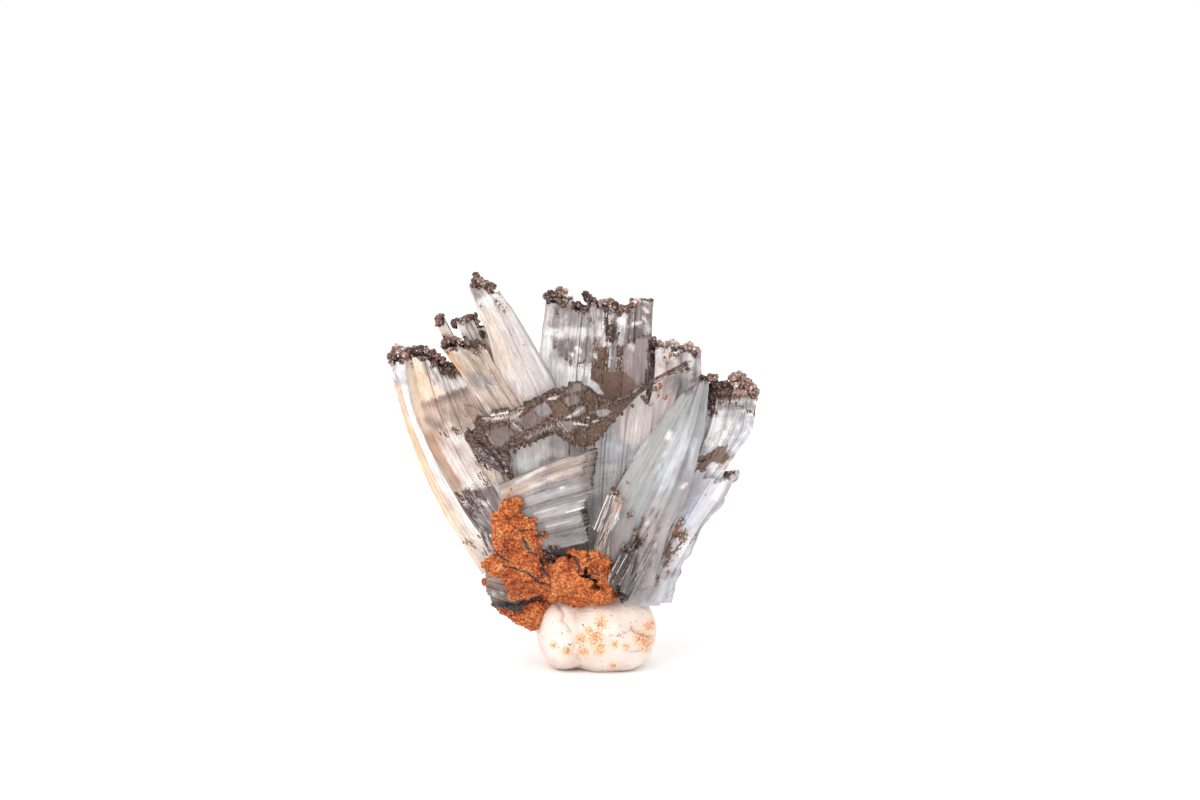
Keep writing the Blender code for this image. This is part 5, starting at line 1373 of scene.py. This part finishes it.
needleBundles = [  # from and to as seen, the depth of the front, how many, their spread and width, colours
    ((-0.2, 21.2), (1.8, 26.2), -7.9, 6, 1.1, 0.14, ("milk", "blush", "white", "umberVeil", "taupe")),
    ((0.8, 19.6), (2.3, 23), -7.9, 5, 0.9, 0.16, ("milk", "umberVeil", "blush")),
    ((2.2, 21.6), (3.2, 22.9), -7.8, 2, 0.6, 0.2, ("milk", "white")),
    ((0.3, 18.4), (1.5, 21), -7.8, 5, 0.7, 0.14, ("milk", "smoke", "blush", "umber")),
    ((2.6, 14.6), (4.3, 17.8), -8.3, 6, 1.2, 0.13, ("white", "milk", "smoke", "umber")),
    ((3.3, 13), (5.2, 16.6), -8.2, 10, 2.2, 0.12, ("milk", "umber", "smoke", "umberVeil", "umber")),
    ((1.9, 13.6), (3.3, 16.4), -8.1, 6, 1.2, 0.12, ("umber", "milk", "smoke", "ink")),
    ((4.4, 17.4), (6.2, 20.6), -6.7, 7, 1.6, 0.12, ("umber", "slate", "milk", "smoke")),
    ((4.8, 12), (6.6, 15), -6.9, 10, 2.4, 0.12, ("slate", "steel", "umber", "grey", "paleGrey")),
    ((6.6, 15.4), (8.6, 19.4), -6.6, 9, 2.4, 0.1, ("slate", "steel", "smoke", "paleGrey")),
    ((6.2, 20.2), (8.2, 23.4), -6.5, 5, 1.4, 0.1, ("slate", "smoke", "steel")),
    ((-5, 23.5), (-1.7, 24.4), -7.5, 2, 0.3, 0.08, ("white", "frost")),
    ((-3.4, 26), (0.1, 26.9), -7.5, 3, 0.5, 0.1, ("grey", "paleGrey")),
    ((8.8, 16.4), (11.4, 22.6), -5.4, 8, 1.6, 0.16, ("lilacGrey", "steel", "veil", "slate")),
    ((-16, 17.6), (-17.8, 21.6), -3, 6, 2, 0.3, ("lilacGrey", "grey", "taupe", "paleGrey")),
]


def growNeedles():
    draw = np.random.default_rng(71)
    shells = []
    for start, end, front, count, spread, wide, colours in needleBundles:
        start, end = np.array(start), np.array(end)
        along = (end - start) / np.hypot(*(end - start))
        side = np.array([along[1], -along[0]])
        for k in range(count):
            offset = side * ((k + 0.5) / count - 0.5 + draw.uniform(-0.08, 0.08)) * spread
            foot = start + offset + along * draw.uniform(-0.5, 0.3)
            tip = end + offset * draw.uniform(0.8, 1.3) + along * draw.uniform(-0.9, 0.4)
            depth = front + draw.uniform(0, 0.5)
            half = wide * draw.uniform(0.35, 0.65)
            ends = [np.insert(behind(*place, depth), 1, depth) for place in (foot, tip)]
            turn = draw.uniform(0, 1)
            points = []
            for end3, slope in zip(ends, (0.0, draw.uniform(-0.6, 0.6))):
                for corner in range(5):
                    angle = (corner + turn) * math.tau / 5
                    cross = np.array([side[0] * math.cos(angle), math.sin(angle) * 0.9, side[1] * math.cos(angle)])
                    lift = np.array([along[0], 0, along[1]]) * slope * math.cos(angle)
                    points.append(end3 + (cross + lift) * half)
            faces = [(c, (c + 1) % 5, (c + 1) % 5 + 5, c + 5) for c in range(5)]
            faces += [(4, 3, 2, 1, 0), (5, 6, 7, 8, 9)]
            points = np.array(points)
            if Sheaf.signed(points, faces[:5]) < 0:
                faces = [face[::-1] for face in faces]
            colour = colours[draw.integers(len(colours))]
            ones = np.ones(10)
            grain = np.column_stack([np.tile(np.arange(5) * half, 2), np.repeat([0.0, 4.0], 5), ones * k * 3.1])
            shells.append({
                "points": points, "faces": faces, "grain": grain, "tint": np.tile(linear(colour), (10, 1)),
                "fog": ones * draw.uniform(0.5, 0.95), "coat": ones * -4, "rust": ones * -4, "bark": ones * 0.5,
            })
    addShells({"name": "needles", "solid": None, "slot": "clear_barite", "finish": "glass"}, shells)


growNeedles()


def remeshed(mesh, voxel):
    carrier = bpy.data.objects.new("carrier", mesh)
    bpy.context.scene.collection.objects.link(carrier)
    modifier = carrier.modifiers.new("even", "REMESH")
    modifier.mode, modifier.voxel_size = "VOXEL", voxel * mm
    bpy.context.view_layer.update()
    graph = bpy.context.evaluated_depsgraph_get()
    result = bpy.data.meshes.new_from_object(carrier.evaluated_get(graph))
    bpy.data.objects.remove(carrier)
    return result


def readPoints(mesh):
    points, normals = np.zeros(len(mesh.vertices) * 3), np.zeros(len(mesh.vertices) * 3, np.float32)
    mesh.vertices.foreach_get("co", points)
    mesh.vertex_normals.foreach_get("vector", normals)
    return points.reshape(-1, 3) / mm, normals.reshape(-1, 3).astype(float)


def writePoints(mesh, points):
    mesh.vertices.foreach_set("co", (points * mm).ravel())
    mesh.update()


rustCrust = {
    "voxel": 0.22,
    "flakes": 0.5,  # height of the flakes, mm
    "cracks": [  # thin dark lines, and how wide
        (0.08, (-14.9, 17.5), (-13.4, 16.4)), (0.1, (-11.2, 19.8), (-10.7, 18.9), (-10.3, 18.2)),
        (0.08, (-10.2, 17.6), (-8.8, 17)), (0.04, (-11.4, 21), (-9.8, 21.1)),
        (0.03, (-4.2, 17.4), (-2.9, 15.8), (-2.4, 14.6)),
        (0.02, (-2.4, 14.2), (-1.6, 13.9), (-0.9, 14.4), (0.3, 14.2)), (0.8, (-15.2, 10), (-13.4, 9.5), (-12, 9.4)),
        (0.3, (-7.8, 18.6), (-6.9, 17.6), (-6.6, 16.4)),
        (0.02, (-13.9, 15.6), (-10.6, 14.6), (-9, 13.2), (-7, 12.7)),
        (0.02, (-8.4, 16.6), (-7.2, 14.2), (-6.8, 11.8)), (0.2, (-13.6, 10.4), (-11.4, 10.2), (-8.6, 10.8)),
    ],
    "loose": [  # crumbs beside the crust: across, up, radius
        (-13.2, 26.3, 0.35), (-14, 24.6, 0.5), (-12.3, 25.3, 0.7), (-11.5, 24.7, 0.6), (-12.9, 27.1, 0.18),
        (-7.8, 20.4, 0.62), (-10.1, 24.2, 0.35), (-16.9, 13.3, 0.55, -2.9), (-9.1, 22.6, 0.4), (-13.6, 25.5, 0.3),
        (-15.3, 22.9, 0.4), (0.2, 17, 0.8), (1, 16.7, 0.75), (1.5, 15.6, 0.75), (0.6, 15.6, 0.9), (1.9, 14.4, 0.7),
        (0.8, 14.4, 0.9), (-0.4, 16, 0.9), (1.9, 13.3, 0.6), (1.2, 13.2, 0.9), (-0.6, 14.8, 0.9), (1.8, 12, 0.8),
        (-0.2, 17.5, 0.5), (0.6, 17.5, 0.35),
    ],
}


def buildRustCrust():
    draw = np.random.default_rng(5)
    source = bmesh.new()
    source.from_mesh(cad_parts["iron_oxide_crust"].data)
    bmesh.ops.remove_doubles(source, verts=source.verts, dist=0.00001)
    for across, up, radius, *deep in rustCrust["loose"]:
        depth = deep[0] if deep else -6.8
        x, z = behind(across, up, depth)
        crumb = bmesh.ops.create_icosphere(source, subdivisions=2, radius=radius * mm)["verts"]
        lean = math.sin(math.radians(lens["above"])) * depth
        for vert in crumb:
            vert.co = vert.co * draw.uniform(0.75, 1.3) + Vector((x, depth, z + lean)) * mm
    merged = bpy.data.meshes.new("merged")
    source.to_mesh(merged)
    source.free()
    mesh = remeshed(merged, rustCrust["voxel"])
    points, normals = readPoints(mesh)
    points[:, 2] += -math.sin(math.radians(lens["above"])) * np.minimum(points[:, 1], 0)
    x, y, z = points.T
    across, up = seen(x, y, z)
    shelves = layeredNoise(x / 2.6 + z / 5, y / 2, z / 1.5 - x / 5, 3, 2)
    flakes = np.abs(shelves * 2.2 - np.round(shelves * 2.2)) + np.round(shelves * 2.2) * 0.7
    lumps = np.abs(layeredNoise(x / 0.7, y / 0.7, z / 0.7, 9, 3)) * 0.7
    crack = np.zeros(len(x))
    wobble = cloudNoise(x * 1.6, y * 0, z * 1.6, 2) * 0.2
    for wide, *path in rustCrust["cracks"]:
        away = pathDistance(across + wobble, up - wobble, path)
        crack = np.maximum(crack, 1 - smooth(wide * 0.4, wide + 0.26, away))
    crack = crack * (y < -2)
    points += normals * (rustCrust["flakes"] * (flakes * 0.6 + lumps - 0.5) - crack * 0.5)[:, None]
    writePoints(mesh, points)
    addAttribute(mesh, "crack", "FLOAT", crack)
    addAttribute(mesh, "chip", "FLOAT", np.clip(flakes * 0.5 + 0.25, 0, 1))
    addPiece("rustCrust", mesh, "rust", ["iron_oxide_crust"])
    print("rust crust built:", len(mesh.polygons), "faces")
    faces = [tuple(face.vertices) for face in mesh.polygons]
    return points, faces, np.clip(0.9 - crack * 2, 0, 1), crack * 0, crack * 0


rustBed = buildRustCrust()


putty = {
    "voxel": 0.3, "lobes": [((-4.9, -0.2, 5.6), (4.2, 7.8, 6.1), 10), ((1.7, 0, 5.2), (7.1, 8.2, 6.2), 4)],
    "creases": [  # lines pressed into the front, x and z
        ([(-5.8, 10.4), (-5, 9.4), (-5.2, 8.4), (-4.4, 7.6), (-3.8, 6.6)], 0.55, 0.5),
        ([(-3.6, 6.8), (-3.4, 4.6), (-3.6, 3.2)], 0.16, 0.18),
        ([(-3.6, 3.4), (-2.8, 2.8), (-2.4, 1.4), (-2.8, 0.4)], 0.16, 0.22),
        ([(1.8, 6.2), (3, 6), (4.2, 6.5), (5.4, 6.9)], 0.25, 0.3),
        ([(5.2, 7.3), (5.8, 6.5), (6.9, 5.9), (8.2, 5.2)], 0.35, 0.6),
        ([(4.6, 3.6), (6.6, 3.4), (8.2, 3)], 0.3, 0.3),
    ],
    "stains": [  # rust rubbed off on the putty, x, z and size
        ((0.6, 8), 1.5), ((-0.1, 5.8), 1.8), ((0.4, 4.2), 1.4), ((-2.4, 5.6), 1.2), ((6.6, 5.4), 1.6),
        ((7.4, 4.6), 1.7), ((7.8, 6.9), 1.5), ((2.6, 4.9), 0.9), ((4.4, 4.4), 0.9), ((-2, 3.6), 1.1),
        ((-4.4, 3.8), 1.1), ((2.4, 1.4), 0.8), ((-6.4, 4.6), 0.8), ((-1.2, 6.8), 1),
    ],
}


def buildPutty():
    bm = bmesh.new()
    for centre, half, lean in putty["lobes"]:
        lobe = bmesh.ops.create_uvsphere(bm, u_segments=64, v_segments=40, radius=1.0)["verts"]
        turn = Matrix.Rotation(math.radians(-lean), 3, "Y")
        for vert in lobe:
            out = vert.co.normalized()
            place = Vector(s * math.copysign(abs(o) ** 0.8, o) for s, o in zip(half, out))
            vert.co = (Vector(centre) + turn @ place) * mm
    joined = bpy.data.meshes.new("lobes")
    bm.to_mesh(joined)
    bm.free()
    mesh = remeshed(joined, putty["voxel"])
    bm = bmesh.new()
    bm.from_mesh(mesh)
    for _ in range(3):
        bmesh.ops.smooth_vert(bm, verts=bm.verts, factor=0.5, use_axis_x=True, use_axis_y=True, use_axis_z=True)
    bm.to_mesh(mesh)
    bm.free()
    points, normals = readPoints(mesh)
    x, y, z = points.T
    front = smooth(1.0, -2.0, y)
    shift = 0.16 * layeredNoise(x / 3, y / 3, z / 3, 21)
    crease = np.zeros(len(x))
    for path, wide, deep in putty["creases"]:
        reach = 1 - smooth(0, wide, pathDistance(x, z, path))
        shift = shift - reach * deep * front
        crease = np.maximum(crease, reach * front)
    stain = np.zeros(len(x))
    for place, size in putty["stains"]:
        stain = np.maximum(stain, (1 - smooth(0, size * 1.5, pathDistance(x, z, [place]))) * front)
    points += normals * shift[:, None]
    points[:, 2] = np.maximum(points[:, 2], 0)
    writePoints(mesh, points)
    addAttribute(mesh, "crease", "FLOAT", crease)
    addAttribute(mesh, "stain", "FLOAT", stain)
    addPiece("puttyLump", mesh, "putty", ["putty"])
    print("putty pressed:", len(mesh.polygons), "faces")


buildPutty()


tipCrusts = [  # lumps as seen from the front: across, up, radius, how pale and how rusty; then the depths they fill
    {"from": -3.6, "to": 0.8, "lumps": [
        (-30.8, 47, 0.6, 0.3, 0.2), (-30.3, 47.8, 0.55, 0.5, 0.5), (-29.9, 48.4, 0.5, 0.8, 1),
        (-29.2, 48.1, 0.6, 0.7, 0.6), (-28.9, 47.2, 0.5, 0.6, 0.2),
    ]},
    {"from": -1, "to": 6, "lumps": [
        (-28.3, 48.2, 0.38, 0.4, 0.2), (-27.5, 48.3, 0.36, 0.3, 0.1), (-26.5, 48.5, 0.42, 0.3),
        (-25.6, 48.2, 0.36, 0.5, 0.3), (-24.6, 47.8, 0.42, 0.4, 0.2), (-23.9, 47.2, 0.4, 0.3),
        (-23.2, 46.7, 0.42, 0.6, 0.3), (-22.6, 45.8, 0.45, 0.2), (-21.7, 45.5, 0.5, 0.1), (-21, 44.9, 0.42, 0.2),
        (-22.9, 44.9, 0.35, 0.3), (-22, 44.4, 0.3, 0.2),
    ]},
    {"from": -4.2, "to": -0.6, "lumps": [
        (-22.9, 49.2, 0.5, 0.3, 0.2), (-22.3, 49.8, 0.42, 0.5, 1), (-21.5, 49.8, 0.45, 0.5, 0.9),
        (-20.7, 49.4, 0.45, 0.5, 0.6), (-19.6, 49.3, 0.45, 0.3, 0.3), (-18.8, 49, 0.65, 0.1, 0.1),
        (-18.2, 48.6, 0.6, 0.1),
    ]},
    {"from": -2, "to": 1.2, "lumps": [
        (-23.7, 52.9, 0.5, 0.4), (-23.2, 53.4, 0.24, 0.2), (-24, 52.3, 0.3, 0.6, 0.1),
    ]},
    {"from": -1.6, "to": 2.6, "lumps": [
        (-21.4, 52.1, 0.4, 0.2), (-20.5, 52.5, 0.25, 0.4, 0.2), (-19.6, 52.9, 0.4, 0.4, 0.3),
        (-18.9, 53.2, 0.42, 0.2), (-18.3, 53.2, 0.3, 0.3, 0.1), (-18, 52.4, 0.35, 0.5, 0.3),
        (-17.2, 50.7, 0.55, 0.1),
    ]},
    {"from": -3.4, "to": 1.4, "lumps": [
        (-18.1, 58.9, 0.75, 0.4, 0.8), (-17.5, 58.3, 0.7, 0.5, 0.5), (-16.6, 57.9, 0.75, 0.2),
        (-15.9, 57.5, 0.6, 0.2), (-16.6, 57.2, 0.5, 0.4), (-18.4, 58.2, 0.45, 0.3), (-14.9, 55.2, 0.2, 0.7, 0.5),
        (-13.9, 54, 0.16, 0.5, 0.1),
    ]},
    {"from": 0.4, "to": 8.4, "lumps": [
        (-7.6, 56.3, 0.35, 0.2), (-7, 56.6, 0.5, 0.2), (-6.3, 56.4, 0.5, 0.3, 0.1), (-5.6, 57.2, 0.55, 0.6, 0.1),
        (-4.8, 56.9, 0.5, 0.7, 0.2), (-4.8, 56.1, 0.45, 0.7, 0.2), (-5.6, 55.6, 0.5, 0.4, 1),
        (-4.9, 54.9, 0.45, 0.4, 0.6), (-3.6, 55, 0.45, 0.2), (-2.8, 55, 0.42, 0.2), (-1.7, 56.4, 0.5, 0.1, 0.1),
        (-1.2, 55.9, 0.5, 0.2, 0.4), (-0.4, 55.4, 0.4, 0.2, 0.7), (0.6, 55.1, 0.5, 0.6, 0.1),
        (1.3, 55.4, 0.45, 0.6, 0.1), (2, 55.5, 0.5, 0.5, 0.3), (2.7, 55, 0.42, 0.3, 0.8),
        (3.6, 54.4, 0.38, 0.3, 0.5), (4.4, 54.2, 0.4, 0.3, 0.1), (5.6, 55.2, 0.3, 0.9, 0.5),
        (6.3, 55.4, 0.24, 0.9, 0.6),
    ]},
    {"from": 0, "to": 3, "lumps": [
        (8.5, 49.7, 0.35, 0.2, 0.1), (8.6, 48.8, 0.4, 0.2, 0.5), (8.5, 47.6, 0.45, 0.3, 0.3),
        (8.3, 46.6, 0.3, 0.2, 0.1),
    ]},
    {"from": -1.6, "to": 5, "lumps": [
        (9.4, 49.2, 0.35, 0.7, 0.2), (10.3, 49, 0.42, 0.7, 0.2), (11.2, 49.3, 0.42, 0.9, 0.1), (12, 48.9, 0.4, 0.8),
        (12.7, 48.4, 0.4, 0.4, 0.3), (13.4, 48.7, 0.4, 0.7, 0.2), (14, 48.9, 0.38, 0.8, 0.1),
        (14.7, 48.2, 0.4, 0.8, 0.3), (15.2, 47.9, 0.32, 0.8),
    ]},
    {"from": -4, "to": 2.6, "lumps": [
        (15.7, 43.8, 0.42, 0), (16.4, 43.7, 0.5, 0.2), (17, 44.2, 0.4, 0.5), (17.7, 44.1, 0.42, 0.6),
        (17.6, 43.2, 0.55, 0), (18.5, 42.9, 0.5, 0.1, 1), (19.3, 42.9, 0.55, 0.2, 0.6), (19.6, 42, 0.5, 0.1, 0.4),
        (18.4, 41.6, 0.55, 0, 0.1), (20.4, 43.9, 0.65, 0.5), (21.2, 44.2, 0.7, 0.55), (21.8, 43.8, 0.6, 0.5, 0.1),
        (20.9, 43, 0.6, 0.75), (22.5, 43.1, 0.65, 0.5), (23.3, 42.5, 0.62, 0.5), (23.8, 41.7, 0.55, 0.5),
        (17.3, 39.4, 0.45, 0.2, 0.1), (17, 41.4, 0.5, 0.1),
    ]},
    {"from": -7.9, "to": -6.4, "lumps": [
        (2.6, 27, 0.4, 0.4, 0.8), (3.1, 26.7, 0.3, 0.4, 0.4), (4.7, 23.4, 0.28, 0.4, 0.7),
        (5.2, 23.5, 0.22, 0.5, 0.9), (5.7, 21, 0.3, 0.4, 0.8), (5.5, 20.2, 0.32, 0.4, 0.7),
        (6.4, 19.4, 0.35, 0.1, 0.2), (4.7, 18.5, 0.25, 0.4, 0.3), (5.6, 17.6, 0.38, 0.4, 0.3), (3.8, 11.3, 0.6, 0),
        (3, 12.4, 0.35, 0),
    ]},
    {"from": -5.8, "to": -4.6, "lumps": [
        (-5.3, 42.2, 0.3, 0.1), (-7, 41.5, 0.28, 0.1, 0.1), (-6.2, 41.8, 0.24, 0.2, 0.2), (-8.6, 40.8, 0.22, 0.2),
        (-13.1, 29.2, 0.25, 0.3, 0.5), (-13.6, 30.2, 0.3, 0.3, 0.3), (-13.9, 31.6, 0.3, 0.3, 0.4),
        (7.2, 41, 0.45, 0.3), (-18.6, 34.6, 0.3, 0.3, 0.2), (-17.8, 33.2, 0.28, 0.3, 0.3), (-16.9, 31.5, 0.22, 0.3),
        (-15.4, 30.6, 0.2, 0.3, 0.1), (-14.2, 29.8, 0.18, 0.4, 0.1), (-13.2, 29, 0.15, 0.3),
        (-12.8, 31.6, 0.22, 0.3, 0.2), (-12.4, 32.9, 0.28, 0.2), (-11.7, 33.6, 0.28, 0.3), (-10.9, 33.9, 0.25, 0.2),
        (-10, 34, 0.25, 0.3), (-9.2, 34.7, 0.25, 0.1), (-8, 35.1, 0.25, 0.2), (-7, 35.6, 0.2, 0.2),
        (-5.8, 35.5, 0.2, 0.3), (-4.8, 35.1, 0.2, 0.3, 0.1), (-4, 34.4, 0.2, 0.4), (-3.1, 33.7, 0.22, 0.4),
        (-1.9, 33.9, 0.2, 0.4), (-0.5, 34, 0.2, 0.4, 0.1), (0.9, 35.4, 0.2, 0.4), (1.4, 36.3, 0.2, 0.3),
        (2.6, 37.5, 0.22, 0.3), (3.8, 38.6, 0.22, 0.3), (5.3, 39.8, 0.22, 0.3), (8.7, 42.3, 0.25, 0.3),
    ]},
    {"from": -7.6, "to": -6.4, "lumps": [  # black core between the lobes of the rusty crust
        (-7.6, 17.9, 0.5, 0), (-7, 18.5, 0.35, 0.1), (-6.2, 18.5, 0.3, 0.1), (-7.3, 17, 0.4, 0),
        (-6.7, 17.2, 0.35, 0), (-5.7, 18.2, 0.25, 0.2), (-6.9, 16.3, 0.3, 0),
    ]},
]


def buildTipCrust(name, groups, seed, beds):
    draw = np.random.default_rng(seed)
    points, faces, tones, heats, start = [], [], [], [], 0
    for group in groups:
        for across, up, radius, tone, *rusty in group["lumps"]:
            heat = sum(rusty)
            depth, first = group["from"] + radius * 0.5, True
            while first or depth < group["to"]:
                for drop, share in ((0.0, 0.66), (radius * 1.1, 0.46)):  # the lump and its foot
                    size = radius * share * (1 if first else draw.uniform(0.8, 1.2))
                    stray = draw.uniform(-0.3, 0.3, 2) * radius * (0.3 if first else 1)
                    x, z = behind(across + stray[0], up - drop + stray[1] - 0.1, depth)
                    bm = bmesh.new()
                    bmesh.ops.create_icosphere(bm, subdivisions=3 if first else 2, radius=1.0)
                    shape = np.array([tuple(v.co) for v in bm.verts])
                    faces += [tuple(v.index + start for v in face.verts) for face in bm.faces]
                    bm.free()
                    place = np.array((x, depth, z)) + shape * size * (1.0, 1.15, 1.0)
                    a, b, c = (place / 0.6).T
                    rough = np.abs(layeredNoise(a, b, c, 31, 3)) - 0.3
                    points.append(place + shape * (rough * size)[:, None])
                    tones.append(np.full(len(place), tone + draw.uniform(-0.15, 0.15)))
                    heats.append(np.full(len(place), heat if first else heat * draw.uniform(0, 1)))
                    start += len(place)
                depth += radius * 1.5
                first = False
    points, tones, heats = np.vstack(points), np.concatenate(tones), np.concatenate(heats)
    mesh = makeMesh(name, points, faces)
    addAttribute(mesh, "tone", "FLOAT", tones)
    addAttribute(mesh, "heat", "FLOAT", heats)
    addPiece(name, mesh, "oxide", sharpAngle=40)
    beds.append((points, faces, np.ones(len(points)), tones, heats))
    print(name, "grown:", len(faces), "faces")


rightTips = []
buildTipCrust("leftTipCrust", tipCrusts[:6], 23, emitters)
buildTipCrust("rightTipCrust", tipCrusts[6:], 24, rightTips)

darkGrains = {
    "name": "oxideGrains", "size": 0.42, "perSquareMm": 6, "seed": 4, "finish": "oxide", "slot": "stained_barite",
}
tipGrains = {**darkGrains, "name": "tipGrains", "seed": 5}
rustGrains = {
    "name": "rustGrains", "size": 0.34, "perSquareMm": 6.5, "seed": 9, "finish": "rust", "slot": "iron_oxide",
}


def grainTree():
    tree = bpy.data.node_groups.new("oxideGrains", "GeometryNodeTree")
    face = tree.interface
    face.new_socket("Geometry", in_out="INPUT", socket_type="NodeSocketGeometry")
    kinds = {"Grain size": "Float", "Grains per square metre": "Float", "Seed": "Int", "Finish": "Material"}
    for name, kind in kinds.items():
        face.new_socket(name, in_out="INPUT", socket_type="NodeSocket" + kind)
    face.new_socket("Geometry", in_out="OUTPUT", socket_type="NodeSocketGeometry")
    nodes, links = tree.nodes, tree.links

    def node(kind, settings=(), sockets=()):
        made = nodes.new(kind)
        for key, value in dict(settings).items():
            setattr(made, key, value)
        for key, value in dict(sockets).items():
            if isinstance(value, bpy.types.NodeSocket):
                links.new(value, made.inputs[key])
            else:
                made.inputs[key].default_value = value
        return made

    given = node("NodeGroupInput").outputs
    thick = node("GeometryNodeInputNamedAttribute", {"data_type": "FLOAT"}, {"Name": "grit"}).outputs["Attribute"]
    density = node(
        "ShaderNodeMath", {"operation": "MULTIPLY"}, {0: thick, 1: given["Grains per square metre"]}
    ).outputs[0]
    spread = node(
        "GeometryNodeDistributePointsOnFaces", {"distribute_method": "RANDOM"},
        {"Mesh": given["Geometry"], "Density": density, "Seed": given["Seed"]},
    )
    grain = node("GeometryNodeMeshIcoSphere", (), {"Radius": 1.0, "Subdivisions": 1})
    uneven = node(
        "FunctionNodeRandomValue", {"data_type": "FLOAT_VECTOR"}, {0: (-0.3, -0.3, -0.3), 1: (0.3, 0.3, 0.3)}
    )
    jagged = node(
        "GeometryNodeSetPosition", (), {"Geometry": grain.outputs["Mesh"], "Offset": uneven.outputs["Value"]}
    )
    turn = node(
        "FunctionNodeRandomValue", {"data_type": "FLOAT_VECTOR"}, {0: (0, 0, 0), 1: (6.3, 6.3, 6.3), "Seed": 2}
    )
    size = node("FunctionNodeRandomValue", {"data_type": "FLOAT"}, {2: 0.4, 3: 1.25, "Seed": 3})
    scale = node("ShaderNodeMath", {"operation": "MULTIPLY"}, {0: size.outputs[1], 1: given["Grain size"]})
    placed = node(
        "GeometryNodeInstanceOnPoints", (),
        {"Points": spread.outputs["Points"], "Instance": jagged.outputs["Geometry"],
         "Rotation": turn.outputs["Value"], "Scale": scale.outputs[0]},
    )
    pale = node("FunctionNodeRandomValue", {"data_type": "FLOAT"}, {2: 0.0, 3: 1.0, "Seed": 5})
    marked = node(
        "GeometryNodeStoreNamedAttribute", {"data_type": "FLOAT", "domain": "INSTANCE"},
        {"Geometry": placed.outputs["Instances"], "Name": "chip", "Value": pale.outputs[1]},
    )
    real = node("GeometryNodeRealizeInstances", (), {"Geometry": marked.outputs["Geometry"]})
    finish = node(
        "GeometryNodeSetMaterial", (), {"Geometry": real.outputs["Geometry"], "Material": given["Finish"]}
    )
    node("NodeGroupOutput", (), {"Geometry": finish.outputs["Geometry"]})
    return tree


def growGrains(settings, beds):
    points, faces, values, start = [], [], [], 0
    for shell, shellFaces, grit, tone, heat in beds:
        wanted = [face for face in shellFaces if all(grit[i] > 0.02 for i in face)]
        faces += [tuple(i + start for i in face) for face in wanted]
        points.append(shell)
        values.append(np.column_stack([grit, tone, heat]))
        start += len(shell)
    carrier = bpy.data.objects.new("grainBed", makeMesh("grainBed", np.vstack(points), faces))
    for name, column in zip(("grit", "tone", "heat"), np.vstack(values).T):
        addAttribute(carrier.data, name, "FLOAT", column)
    bpy.context.scene.collection.objects.link(carrier)
    modifier = carrier.modifiers.new("grains", "NODES")
    modifier.node_group = grainTree()
    given = {
        "Grain size": settings["size"] * mm / 2, "Grains per square metre": settings["perSquareMm"] * 1e6,
        "Seed": settings["seed"], "Finish": finishes[settings["finish"]],
    }
    for item in modifier.node_group.interface.items_tree:
        if item.in_out == "INPUT" and item.name in given:
            modifier[item.identifier] = given[item.name]
    bpy.context.view_layer.update()
    graph = bpy.context.evaluated_depsgraph_get()
    mesh = bpy.data.meshes.new_from_object(carrier.evaluated_get(graph))
    bpy.data.objects.remove(carrier)
    piece = addPiece(settings["name"], mesh, settings["finish"])
    piece.data.shade_flat()
    print(settings["name"], "grown:", len(mesh.polygons), "faces")


growGrains(darkGrains, emitters)
growGrains(tipGrains, rightTips)
growGrains(rustGrains, [rustBed])


def addFloor():
    bpy.ops.mesh.primitive_plane_add(size=6, location=(0, 0, 0))
    floor = bpy.context.object
    floor.name = "paleFloor"
    f = Finish("paleFloor")
    floor.data.materials.append(f.done(f.principled({"Base Color": (0.95, 0.95, 0.95, 1), "Roughness": 0.95})))


studio = {
    "white": 1.25,  # what the camera sees behind the object
    "room": 1.5,  # light that falls on matte surfaces
    "depth": {"From Min": -0.9, "From Max": 0.3, "To Min": 0.41, "To Max": 1.4},  # dimmer in front, brighter behind
    "lampPower": 2.05, "lampSize": 0.5,
}


def addStudio():
    world = bpy.data.worlds.new("studio")
    bpy.context.scene.world = world
    f = Finish("studio", world)
    across = f.node("SeparateXYZ", (), {0: f.node("TexCoord", output="Generated")}, output="Y")
    deeper = f.node("MapRange", (), {"Value": across, **studio["depth"]})
    matte = f.node("Mix", (), {0: f.node("LightPath", output="Is Diffuse Ray"), 2: deeper, 3: studio["room"]})
    shown = f.node("Mix", (), {0: f.node("LightPath", output="Is Camera Ray"), 2: matte, 3: studio["white"]})
    f.node("OutputWorld", (), {0: f.node("Background", (), {"Strength": shown})})
    lamp = bpy.data.lights.new("softbox", "AREA")
    lamp.energy, lamp.size = studio["lampPower"], studio["lampSize"]
    holder = bpy.data.objects.new("softbox", lamp)
    bpy.context.scene.collection.objects.link(holder)
    holder.location = (-0.35, -0.45, 0.55)
    holder.rotation_euler = (Vector((0, 0, 0.03)) - holder.location).to_track_quat("-Z", "Y").to_euler()
    bpy.context.scene.view_settings.view_transform = "Standard"


def addCamera():
    data = bpy.data.cameras.new("camera")
    data.lens, data.sensor_width = lens["focal"], 36
    data.clip_start, data.clip_end = 0.05, 20
    camera = bpy.data.objects.new("camera", data)
    bpy.context.scene.collection.objects.link(camera)
    aim, tilt = Vector(lens["aim"]), math.radians(lens["above"])
    camera.location = aim + Vector((0, -math.cos(tilt), math.sin(tilt))) * lens["away"]
    camera.rotation_euler = (aim - camera.location).to_track_quat("-Z", "Y").to_euler()
    bpy.context.scene.camera = camera


addFloor()
addStudio()
addCamera()
print("stage set")
